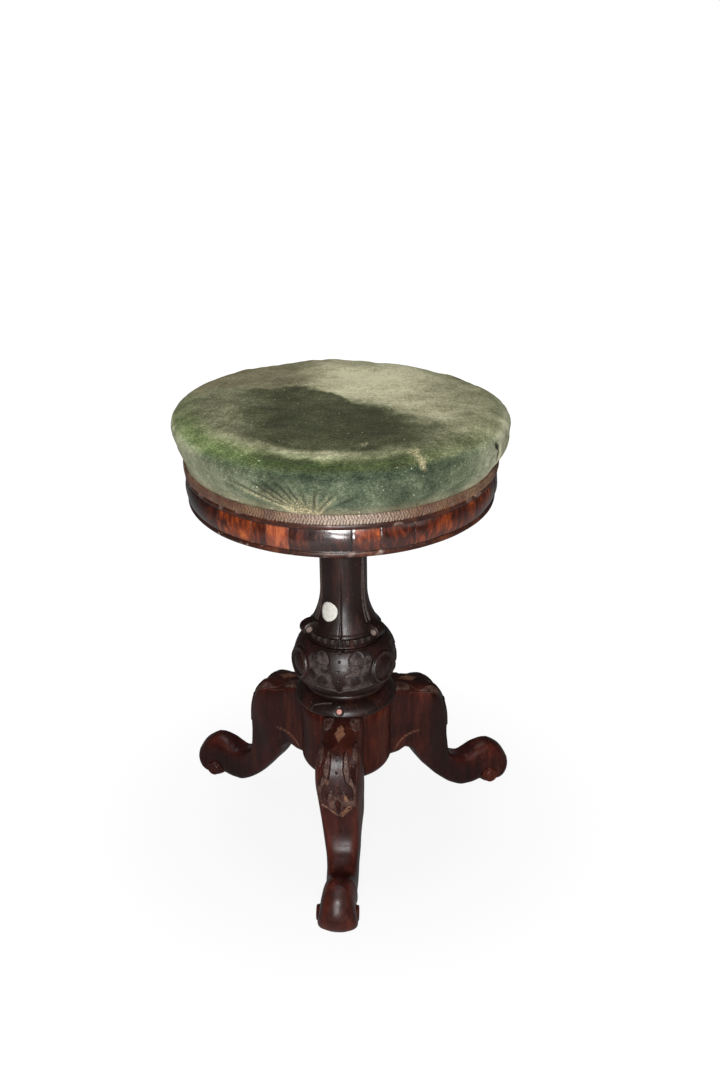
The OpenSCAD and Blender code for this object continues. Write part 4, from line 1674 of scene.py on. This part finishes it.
    def make(self) -> None:
        """Builds and dresses the column, its ears and the label."""
        wood = COLUMN_WOOD.material()
        hand_over(self.build(), wood, Body.BASE, "column_wood", "column")
        for side, at in (("left", -60.0), ("right", 60.0), ("rear", 180.0)):
            ear = self.build_ear(side, at)
            hand_over(ear, wood, Body.BASE, "column_wood", f"scroll_ear_{side}")
        hand_over(self.build_label(), LABEL_PAPER.material(), Body.BASE, "column_wood")


# ---- screw and ironwork


@dataclass
class Ironwork:
    """The threaded spindle, its nut, the washer, the seat plate and their screws."""

    radius: float = 11 * MM
    low: float = 256 * MM
    high: float = 433 * MM
    pitch: float = 8 * MM
    depth: float = 1.6 * MM
    steps: int = 40

    def build_spindle(self) -> Piece:
        """Cuts the coarse thread by sweeping its tooth up the spindle as a screw.

        Returns:
            The spindle.
        """
        turns = int((self.high - self.low - 30 * MM) / self.pitch)
        p, outer, root = self.pitch, self.radius, self.radius - self.depth
        bm = bmesh.new()
        tooth = [(root, 0), (root, p * 0.42), (outer, p * 0.54), (outer, p * 0.88), (root, p)]
        line = [bm.verts.new((x, 0, self.low + 4 * MM + z)) for x, z in tooth]
        edges = [bm.edges.new(pair) for pair in zip(line, line[1:])]
        bmesh.ops.spin(bm, geom=line + edges, cent=(0, 0, 0), axis=(0, 0, 1),
                       angle=FULL_TURN * turns, steps=self.steps * turns,
                       dvec=(0, 0, p / self.steps))
        close_shell(bm, set(), 1e-6)
        shank = outer - 0.2 * MM
        core = [(0, self.low), (root - MM, self.low), (root, self.low + MM),
                (root, self.low + 8 * MM), (root, self.high - 24 * MM),
                (shank, self.high - 22 * MM), (shank, self.high), (0, self.high)]
        turn_into(bm, core, 64)
        return finish_mesh("threaded_spindle", bm)

    def make(self) -> None:
        """Builds the spindle and dresses the carried-over ironwork and inner wood."""
        iron = IRON.material()
        hand_over(self.build_spindle(), iron, Body.SEAT, "iron", "screw_spindle")
        dress_nodes(iron, "column_nut", "seat_plate")
        dress_nodes(STEEL.material(), "nut_screws", "plate_screws", "cover_tacks")
        dress_nodes(WASHER_LEATHER.material(), "leather_washer")
        dress_nodes(BareWood().material(), "seat_board", "rim_core", "tacking_rail")


# ---- rim


@dataclass
class Rim:
    """The crossbanded rim between its two beads."""

    core_r: float = 159 * MM
    swell: float = 2.6 * MM
    veneer: float = 2.4 * MM
    low: float = 431 * MM
    high: float = 455 * MM
    bead_h: float = 6 * MM
    bead_out: float = 3.6 * MM
    gap: float = 0.05 * MM
    joints: tuple[float, ...] = (-165, -134.8, -118.8, -112.8, -104.5, -82.8, -73.3, -60.8, -36.5,
                                 -12, 20, 48, 78, 104, 131, 160)
    tones: tuple[float, ...] = (0.35, 0.75, 0.7, 0.9, 0.25, 0.55, 0.4, 0.6, 0.65, 0.5, 0.3, 0.5,
                                0.65, 0.35, 0.55, 0.4)
    pink_piece: int = 3

    def face(self, thick: float, steps: int) -> Array:
        """Draws a face of the band from its lower edge to its upper one, as (radius, height).

        Args:
            thick: How far it lies outside the core.
            steps: How many steps it has.

        Returns:
            The face's points.
        """
        half = (self.high - self.low) / 2
        bow = (half * half + self.swell * self.swell) / (2 * self.swell)
        r = bow + thick
        lean = math.degrees(math.asin((half - self.gap) / r))
        x, z = self.core_r + self.swell - bow, self.low + half
        return np.array(arc(x, z, r, r, -lean, lean, steps))

    def off_joints(self, angle: Array, radius: float) -> Array:
        """How far each place lies from the nearest joint of the veneer."""
        return span(np.min(np.abs(signed(angle[..., None] - np.array(self.joints))), -1), radius)

    def build_band(self) -> Piece:
        """Bends the veneer pieces round the core, with their open joints and small steps.

        Returns:
            The band.
        """
        front, back = self.face(self.veneer, 30), self.face(self.gap, 8)[::-1]
        hoop = Hoop(np.vstack([front, back, front[:1]]), 1080)
        angle = signed(hoop.angle)
        which = (np.searchsorted(self.joints, angle) - 1) % len(self.joints)
        outer = hoop.rows(0, len(front))
        joint = bell(self.off_joints(angle, self.core_r), 0.45 * MM) * outer
        step = np.random.default_rng(5).uniform(-1, 1, len(self.joints))[which]
        bruise = ripple(hoop.points, 38 * MM, 21)
        hoop.swell(outer * (step + bruise) * 0.25 * MM - joint * 0.6 * MM)
        past_edge = np.abs(hoop.z - (self.low + self.high) / 2) - (self.high - self.low) / 2
        # painted shade along the band's upper and lower edges, where the beads meet it
        painted_edge_shade = bell(past_edge + 0.4 * MM, 0.8 * MM) * outer
        nicks = bell(past_edge + 0.5 * MM, MM) * outer
        wear = 0.7 * joint * nicks * smoothstep(ripple(hoop.points, 17 * MM, 31), 0.0, 0.6)
        marks = {"own": np.array(self.tones)[which], "wear": wear,
                 "shade": np.maximum(0.85 * joint, 0.7 * painted_edge_shade),
                 "pink": (which == self.pink_piece) * outer * 0.66,
                 "round": hoop.turn * self.core_r, "up": hoop.z}
        return Sheet(hoop.points, marks).build("crossband_pieces")

    def build_bead(self, name: str, foot: float, z: float, seed: int) -> Piece:
        """Turns one bead, a little uneven, with rubbed edges, lost polish and painted shade at its
        foot.

        Args:
            name: The piece's name.
            foot: The radius that the bead stands on.
            z: The height of its lower edge.
            seed: Its own unevenness.

        Returns:
            The bead.
        """
        half = self.bead_h / 2 - self.gap
        mid, r = z + self.bead_h / 2, foot + self.bead_out / 2
        crown = arc(r, mid, self.bead_out / 2, half, -90, 90, 12)
        start = (foot, mid - half)
        hoop = Hoop(np.array([start, *crown, (foot, mid + half), start]), 720)
        outer = hoop.rows(2, len(hoop.section) - 2)
        nick = smoothstep(ripple(hoop.points, 11 * MM, seed, 9), 1.55, 1.9)
        joint = bell(self.off_joints(hoop.angle, r), 0.5 * MM) * outer
        uneven = 0.15 * MM * ripple(hoop.points, 60 * MM, seed + 1)
        hoop.swell(outer * (uneven - 0.5 * MM * nick) - 0.35 * MM * joint)
        rubbed = 0.35 * smoothstep(ripple(hoop.points, 24 * MM, seed + 2), 0.8, 1.3)
        # shade mark: painted shade where the bead meets the core, and dark joints
        marks = {"wear": outer * np.maximum(0.9 * nick, rubbed),
                 "shade": np.maximum(0.8 * bell(hoop.radius - foot, 0.5 * MM), 0.85 * joint)}
        return Sheet(hoop.points, marks).build(name)

    def make(self) -> None:
        """Builds and dresses the band and both beads."""
        hand_over(self.build_band(), Crossband().material(), Body.SEAT, "rim_veneer", "rim_veneers")
        wood = BEAD_WOOD.material()
        for side, node, over_core, z, seed in (
                ("lower", "bottom", -0.35 * MM, self.low - self.bead_h, 41),
                ("upper", "top", 1.65 * MM, self.high, 47)):
            bead = self.build_bead(f"{side}_bead", self.core_r + over_core, z, seed)
            hand_over(bead, wood, Body.SEAT, "bead_wood", f"rim_{node}_bead")


# ---- seat


@dataclass
class Nap:
    """How the velvet's nap lies and where it has gone, at each of the cushion's points, with
    painted sheen on the side and painted shade in its creases and slit.
    """

    co: Array
    side: Array
    thread: Array
    slit: Array
    folds: Array

    def __post_init__(self) -> None:
        """Finds where each point lies, in millimetres and degrees, and what the sitter polished."""
        self.x, self.y, self.lift = (self.co / MM).T
        self.flat = np.hypot(self.x, self.y)
        self.turn = np.degrees(np.arctan2(self.y, self.x))
        self.low = smoothstep(self.lift, 519, 514)
        # pale behind a slanting line, dark in front of it
        edge = np.interp(self.x, [-170, -120, -87, -40, -18, 0, 32, 65, 93, 170],
                         [44, 34, 33, 38, 24, 4, -21, -50, -70, -100])
        off = self.y - edge + 5 * self.waves(34, 81) + 3 * self.waves(13, 82)
        self.back = smoothstep(off / (1 + smoothstep(self.x, 0, 90) * 3.2), -7, 9)
        # rubbed pale along the front of the crown
        past = self.flat - 146 - 3 * self.waves(40, 85)
        self.ring = smoothstep(past, -13, -3) * smoothstep(past, 15, 4)

    def waves(self, pitch: float, seed: int) -> Array:
        """A smooth uneven field; pitch is in millimetres."""
        return ripple(self.co, pitch * MM, seed)

    def about(self, at: float, width: float) -> Array:
        """A bell of height 1 about one direction, in degrees."""
        return about(self.turn, at, width)

    def spot(self, x: float, y: float, wide: float, long: float) -> Array:
        """A soft oval about a place on the top."""
        return bell(self.x - x, wide) * bell(self.y - y, long)

    def top_tone(self) -> Array:
        """Finds how pale the top is.

        Returns:
            The tone at each point, from 0 to 1.
        """
        back, front = self.back, 1 - self.back
        tone = 0.42 + 0.06 * self.waves(60, 84)
        tone += back * (0.05 + 0.3 * smoothstep(self.x, -75, 10))
        tone -= 0.17 * back * smoothstep(self.x, 70, 130)
        tone += 0.28 * back * self.spot(22, 60, 42, 44)
        past = np.clip(np.abs(self.x - 4) - 34, 0, None)
        tone -= front * (0.3 * np.exp(-past ** 2 / 2600) + 0.1 * self.spot(40, -80, 56, 40))
        tone -= front * (0.07 * smoothstep(self.x, -30, -60) - 0.08 * smoothstep(self.x, -85, -130))
        rubbed = 0.66 * self.about(-98, 26) + 0.1 * self.about(-66, 16)
        rubbed += 0.08 * self.about(-140, 20)
        return tone + self.ring * (0.92 + 0.14 * self.waves(12, 90)) * rubbed

    def side_tone(self) -> Array:
        """Finds how pale the side is.

        Returns:
            The tone at each point, from 0 to 1.
        """
        tone = 0.38 + 0.08 * self.waves(36, 83) + 0.12 * smoothstep(self.lift, 492, 478)
        # painted sheen: paler at the side's far left and right, where it is seen edge-on
        tone += 0.46 * self.about(-166, 26) + 0.56 * self.about(-14, 26)
        brow = self.about(-100, 44) + 0.5 * self.about(-40, 30)
        tone -= 0.17 * bell(self.lift - 512, 4) * brow
        return tone - 0.08 * self.about(-85, 30) - 0.14 * self.about(-55, 18)

    def patch(self) -> Array:
        """Finds where the pile is gone: a T on the brow at the right, and a speck on the top.

        Returns:
            The share that is gone at each point.
        """
        at = span(signed(self.turn + 60), 160) + 1.2 * self.waves(9, 87)
        bar = bell(self.flat - 154 + 1.2 * self.waves(6, 89), 3.2) * smoothstep(np.abs(at), 8.5, 6)
        stem = (smoothstep(np.abs(at - 1), 4, 2.6) * smoothstep(self.flat, 152, 155)
                * smoothstep(self.lift, 510, 514))
        far = np.hypot(self.x - 30, (self.y + 120) * 0.8) + 1.5 * self.waves(5, 88)
        return np.maximum(np.maximum(bar, stem * 0.9), 0.8 * smoothstep(far, 3.6, 2.2))

    def fresh(self) -> Array:
        """Finds where the cloth is still a fresh green, below the brow.

        Returns:
            The share at each point.
        """
        line = bell(self.flat - 164, 4.5) * smoothstep(self.lift, 510, 514)
        share = 0.5 * self.about(-142, 30) + 0.3 * self.about(-95, 50) + 0.12
        share = smoothstep(self.flat, 138, 163) * share * (1 - 0.1 * self.ring)
        deep = line * (0.9 * self.about(-100, 50) + 0.5 * self.about(-150, 25))
        return np.maximum(share, deep) * smoothstep(self.lift, 511, 516)

    def marks(self) -> dict[str, Array]:
        """Works out every mark that the finish reads.

        Returns:
            The marks by name.
        """
        pale = self.top_tone() * (1 - self.low) + self.side_tone() * self.low
        # painted shade: darker in the side's creases
        pale -= 0.2 * np.clip(self.folds, 0, 1.5) * self.side
        brown = (0.35 * smoothstep(self.flat, 140, 170) * smoothstep(self.y, 0, 90)
                 + 0.25 * self.back * smoothstep(self.x, 0, -90))
        brown = np.maximum(brown, 0.35 * self.side * smoothstep(self.lift, 480, 471))
        # the shade mark is the slit, painted dark as the shade inside it
        found = {"pale": pale, "fresh": self.fresh(), "brown": brown, "shade": self.slit,
                 "cool": self.low * (0.3 + 0.4 * self.about(-80, 50)),
                 "thread": self.thread * self.side + 0.9 * self.patch()}
        return {name: np.clip(values, 0, 1) for name, values in found.items()}


@dataclass
class Seat:
    """The stuffed seat in its worn velvet cover, and the gimp braid that hides its tacks."""

    foot_r: float = 162.7 * MM
    foot_z: float = 461.2 * MM
    braid_r: float = 163.5 * MM
    braid_h: float = 10 * MM
    braid_t: float = 1.4 * MM
    tufts: int = 330
    brow_r: float = 175.5 * MM
    brow_z: float = 508 * MM
    crown: float = 529 * MM
    crease_r: float = 166 * MM
    stuffing: float = 3 * MM
    voxel: float = 4 * MM
    cap: float = 2 * MM
    fill: float = 0.75
    settle: int = 20
    # creases on the side: (angle, height) of both ends and depth, in degrees and millimetres
    creases: tuple[tuple[Point, Point, float], ...] = (
        ((-102, 474), (-124, 498), 1.6), ((-101, 474), (-118, 505), 1.8),
        ((-100, 475), (-114.5, 509), 1.9), ((-99, 476), (-109.5, 512), 1.7),
        ((-98, 476), (-105.5, 510), 1.6), ((-97, 475), (-100, 508), 1.4),
        ((-95.5, 474), (-94, 506), 1.4), ((-94, 474), (-87, 500), 1.2),
        ((-92, 474), (-80, 494), 0.9), ((-132, 474), (-140, 492), 0.8),
        ((-24, 476), (-20, 492), 1.0), ((-172, 478), (-160, 500), 0.9),
        ((-60, 473), (-55, 484), 0.6), ((35, 474), (39, 492), 1.0), ((80, 474), (77, 490), 1.0),
        ((128, 474), (132, 494), 1.0))
    slit: Outline = ((-23, 481), (-22, 491), (-22.5, 501), (-25.5, 508))

    def outline(self) -> list[Point]:
        """Sets out the stuffing's outside, from the middle of its bed round to the crown.

        Returns:
            Points of (radius, height).
        """
        m, inset = MM, self.stuffing
        r, b = self.foot_r - inset, self.brow_r - inset
        z, y, rise = self.foot_z, self.brow_z, self.crown - self.brow_z - inset
        side = sweep([(r + 0.3 * m, z + self.braid_h), (r + 6 * m, z + self.braid_h + 14 * m),
                      (b - 4 * m, y - 13 * m), (b, y), (b - 5 * m, y + rise * 0.42),
                      (b - 22 * m, y + rise * 0.72), (b * 0.62, y + rise * 0.92),
                      (b * 0.3, y + rise), (0, self.crown - inset)], 4)
        return [(0, z), (r * 0.5, z), (r - 3 * m, z), (r, z + m), *map(tuple, side)]

    def blow(self, cover: Piece) -> None:
        """Blows the cover up as cloth over its stuffing, held at its tacked foot.

        Args:
            cover: The cover.
        """
        rest = positions(cover.data)
        held = cover.vertex_groups.new(name="tacked")
        low = np.nonzero(rest[:, 2] < self.foot_z + 11 * MM)[0]
        held.add([int(i) for i in low], 1.0, "REPLACE")
        cloth = cover.modifiers.new("cover", "CLOTH")
        for name, value in (("quality", 5), ("mass", 0.4), ("use_pressure", True),
                            ("uniform_pressure_force", 4.0), ("vertex_group_mass", "tacked")):
            setattr(cloth.settings, name, value)
        cloth.settings.effector_weights.gravity = 0.0
        scene = bpy.context.scene
        for step in range(1, self.settle + 1):
            scene.frame_set(step)
        deps = bpy.context.evaluated_depsgraph_get()
        move = positions(cover.evaluated_get(deps).to_mesh()) - rest
        size = np.linalg.norm(move, axis=1, keepdims=True)
        cover.modifiers.clear()
        cover.vertex_groups.clear()
        scene.frame_set(1)
        move_to(cover, rest + move * np.minimum(1, self.cap / np.maximum(size, 1e-9)))

    def build_cover(self) -> Piece:
        """Builds the cushion's closed form as fine even cloth.

        Returns:
            The cushion.
        """
        cover = turned("velvet_cushion", self.outline(), 128)
        grid = cover.modifiers.new("even", "REMESH")
        grid.mode, grid.voxel_size = "VOXEL", self.voxel
        baked(cover)
        self.blow(cover)
        finer = cover.modifiers.new("finer", "SUBSURF")
        finer.levels = finer.render_levels = 1
        baked(cover)
        return cover

    def fit(self, cover: Piece) -> None:
        """Brings the blown cover to the seat's real, slightly lopsided size.

        Args:
            cover: The cushion.
        """
        co = positions(cover.data)
        radius = np.hypot(co[:, 0], co[:, 1])
        turn = np.degrees(np.arctan2(co[:, 1], co[:, 0]))
        lift = (co[:, 2] - self.foot_z) / (self.crown - self.foot_z)
        grow = 1 + (self.brow_r / float(radius.max()) - 1) * smoothstep(lift, 0.02, 0.45)
        foot = np.interp(lift, [0.0, 0.13, 0.3], [1.0, 1.0, 0.0])
        want = self.foot_r / np.maximum(radius, 1e-6)
        near_foot = (radius > self.foot_r - 7 * MM) & (lift < 0.3)
        grow = np.where(near_foot, grow * (1 - foot) + want * foot, grow)
        co[:, :2] *= grow[:, None]
        co[:, 2] += (self.crown - float(co[:, 2].max())) * smoothstep(lift, 0.4, 1.0)
        # the side hangs fuller on the right and the left shoulder stands up
        side = bell(lift - 0.38, 0.22) * (lift > 0.13)
        out = 2.4 * MM * side * (about(turn, -8, 40) - about(turn, 180, 45))
        co[:, :2] *= (1 + out / np.maximum(radius, 40 * MM))[:, None]
        shoulder = smoothstep(radius, 100 * MM, 168 * MM) * smoothstep(lift, 0.5, 0.85)
        co[:, 2] += shoulder * MM * (2.2 * about(turn, 175, 40) - 5.4 * about(turn, 52, 42)
                                     - 1.6 * about(turn, 118, 30))
        co[:, 2] += MM * ripple(co, 95 * MM, 71) * smoothstep(lift, 0.5, 0.9)
        move_to(cover, co)

    def on_side(self, points: Line) -> Array:
        """A smooth line laid flat on the side, through points of (degrees, millimetres)."""
        return sweep([(span(at, self.crease_r), z * MM) for at, z in points], 6)

    def wear_in(self, cover: Piece) -> None:
        """Folds the creases in, parts the slit and marks the nap.

        Args:
            cover: The cushion.
        """
        co = positions(cover.data)
        turn = np.arctan2(co[:, 1], co[:, 0])
        lift = co[:, 2] / MM
        side = smoothstep(np.hypot(co[:, 0], co[:, 1]), 150 * MM, 160 * MM)
        side = side * smoothstep(lift, 514, 500)
        c = Carving(turn * self.crease_r, co[:, 2])
        folds, crest, thread = np.zeros(len(co)), np.zeros(len(co)), np.zeros(len(co))
        for (a0, z0), (a1, z1), depth in self.creases:
            bow = ((a0 + a1) * 0.5, z0 * 0.46 + z1 * 0.54 + 0.8)
            line = self.on_side([(a0, z0), bow, (a1, z1)])
            far = c.from_line(line)
            fade = smoothstep(np.hypot(c.u - line[-1, 0], c.v - line[-1, 1]), 0, 16 * MM)
            folds += depth * bell(far, 1.7 * MM) * fade
            crest += depth * 0.35 * bell(far - 4.2 * MM, 2.0 * MM) * fade
            worn = bell(far - 2.4 * MM, 1.3 * MM) * smoothstep(lift, 502, 478) * (depth > 1.1)
            thread = np.maximum(thread, worn)
        # the slit at the right, above the braid
        slit = smoothstep(c.from_line(self.on_side(self.slit)), 4.2 * MM, 1.4 * MM) * (lift > 480)
        out = MM * ((crest - folds) * side - 2.6 * slit)
        co += np.stack([np.cos(turn), np.sin(turn), np.zeros_like(turn)], -1) * out[:, None]
        move_to(cover, co)
        for name, values in Nap(co, side, thread, slit, folds).marks().items():
            set_mark(cover, name, values)

    def build_braid(self) -> Piece:
        """Weaves the gimp: a padded strip with slanting tufts in two rows, and scalloped edges.

        Returns:
            The braid.
        """
        inner = self.braid_r
        low, high = self.foot_z - 0.1 * MM, self.foot_z + self.braid_h - 0.2 * MM
        mid, half = (low + high) / 2, (high - low) / 2
        padded = [(inner + self.braid_t * math.cos(t) ** 0.4, mid + half * math.sin(t))
                  for t in np.linspace(-1.45, 1.45, 27)]
        hoop = Hoop(np.array([(inner, low), *padded, (inner, high), (inner, low)]), 1800)
        height = (hoop.z - mid) / half
        stray = 0.16 * ripple(hoop.points, 9 * MM, 93)
        at = hoop.turn * self.tufts / FULL_TURN
        wave = np.cos(FULL_TURN * (at + 0.45 * np.abs(height) + 0.5 * (height > 0) + stray))
        outer, spine = hoop.rows(1, len(hoop.section) - 2), bell(height, 0.12)
        relief = 0.45 * wave * (1 - spine) * (np.abs(height) < 0.97) - 0.35 * spine
        hoop.swell(outer * MM * (relief + 0.15 * ripple(hoop.points, 30 * MM, 91)))
        scallop = smoothstep(np.abs(height), 0.7, 1.0) * np.sign(height)
        hoop.points[..., 2] += scallop * 0.45 * MM * wave
        faded = 0.1 * np.clip(ripple(hoop.points, 26 * MM, 95), 0, 1)
        # paler at the front, where the lamp falls: partly worn, partly painted highlight
        faded += 0.9 * about(hoop.angle, -86, 17)
        # shade mark: painted shade in the dips between the tufts
        marks = {"bleach_and_highlight": np.clip(outer * faded, 0, 0.9), "shade": outer * np.clip(-wave, 0, 1)}
        return Sheet(hoop.points, marks).build("woven_gimp")

    def make(self) -> None:
        """Builds and dresses the cushion and its braid."""
        cover = self.build_cover()
        self.fit(cover)
        self.wear_in(cover)
        hand_over(cover, Velvet().material(), Body.SEAT, "velvet", "velvet_cover",
                  "linen_undercover", "horsehair_pad")
        hand_over(self.build_braid(), Braid().material(), Body.SEAT, "braid", "gimp_braid")


# ---- studio


@dataclass(frozen=True)
class Lamp:
    """One soft square lamp that faces the stool."""

    name: str
    at: Place
    power: float
    wide: float
    tall: float

    def hang(self) -> None:
        """Hangs the lamp."""
        light = bpy.data.lights.new(self.name, "AREA")
        light.shape, light.energy = "RECTANGLE", self.power
        light.size, light.size_y = self.wide, self.tall
        lamp = bpy.data.objects.new(self.name, light)
        bpy.context.scene.collection.objects.link(lamp)
        lamp.location = self.at
        towards = Vector((0, 0, 0.3)) - Vector(self.at)
        lamp.rotation_euler = towards.to_track_quat("-Z", "Y").to_euler()


@dataclass
class Studio:
    """The floor, the lamps and the camera."""

    target: Place = (0.01857, 0.001, 0.3665)
    eye: Place = (0.0867, -1.2685, 0.9764)
    roll: float = -0.69
    lens: float = 43.33
    floor_size: float = 6.0
    glow: float = 1.06
    dim: float = 0.07
    lamps: tuple[Lamp, ...] = (
        Lamp("key", (0.03, -1.28, 0.92), 21.0, 0.38, 0.42),
        Lamp("low", (0.02, -1.33, 0.34), 8.0, 0.22, 0.26),
        Lamp("fill", (1.1, -0.9, 0.9), 1.6, 0.6, 0.8),
        Lamp("overhead", (-0.1, 0.1, 1.8), 14.0, 1.0, 1.0))

    def lay_floor(self) -> None:
        """Lays a plain pale floor that keeps the stool's shadow."""
        bm = bmesh.new()
        bmesh.ops.create_grid(bm, x_segments=2, y_segments=2, size=self.floor_size)
        floor = finish_mesh("floor", bm, smooth=False)
        p = Paint("pale_floor")
        p.surface(Base_Color=(0.32, 0.32, 0.32), Roughness=0.9, Specular_IOR_Level=0.1)
        glow = p.node("Emission", Color=(1.0, 1.0, 1.0), Strength=self.glow)
        seen = p.node("LightPath").outputs["Is Camera Ray"]
        far = p.node("VectorMath", {"operation": "LENGTH"})
        p.feed(far.inputs[0], p.node("TexCoord").outputs["Object"])
        share = p.level(far.outputs["Value"], 0.12, 0.5, 0.84, 1.0)
        mix = p.node("MixShader", Fac=p.times(seen, share))
        p.feed(mix.inputs[1], p.shader.outputs[0])
        p.feed(mix.inputs[2], glow.outputs[0])
        p.feed(p.tree.nodes["Material Output"].inputs["Surface"], mix.outputs[0])
        dress(floor, p.material)

    def set_world(self) -> None:
        """Gives plain soft light all round, white only to the eye."""
        world = bpy.data.worlds.new("studio")
        bpy.context.scene.world = world
        world.use_nodes = True
        tree = world.node_tree
        back = tree.nodes["Background"]
        back.inputs["Color"].default_value = (1, 1, 1, 1)
        path = tree.nodes.new("ShaderNodeLightPath")
        level = tree.nodes.new("ShaderNodeMapRange")
        level.inputs["To Min"].default_value = self.dim
        tree.links.new(path.outputs["Is Camera Ray"], level.inputs["Value"])
        tree.links.new(level.outputs["Result"], back.inputs["Strength"])

    def place_camera(self) -> None:
        """Sets the camera where the stool is seen a little from above."""
        data = bpy.data.cameras.new("camera")
        data.lens, data.sensor_width = self.lens, 36.0
        camera = bpy.data.objects.new("camera", data)
        bpy.context.scene.collection.objects.link(camera)
        eye, target = Vector(self.eye), Vector(self.target)
        look = (target - eye).to_track_quat("-Z", "Y").to_matrix().to_4x4()
        camera.matrix_world = Matrix.Translation(eye) @ look @ turn_about_z(self.roll)
        bpy.context.scene.camera = camera

    def make(self) -> None:
        """Sets up the whole studio."""
        self.lay_floor()
        self.set_world()
        for lamp in self.lamps:
            lamp.hang()
        bpy.context.scene.view_settings.view_transform = "Standard"
        self.place_camera()


def main() -> None:
    """Builds every sub-assembly in order."""
    logging.basicConfig(level=logging.INFO, format="%(name)s: %(message)s")
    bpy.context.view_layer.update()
    for part in (Legs(), Drum(), Column(), Ironwork(), Rim(), Seat(), Studio()):
        log.info("building %s", type(part).__name__)
        part.make()


if __name__ == "__main__":
    main()
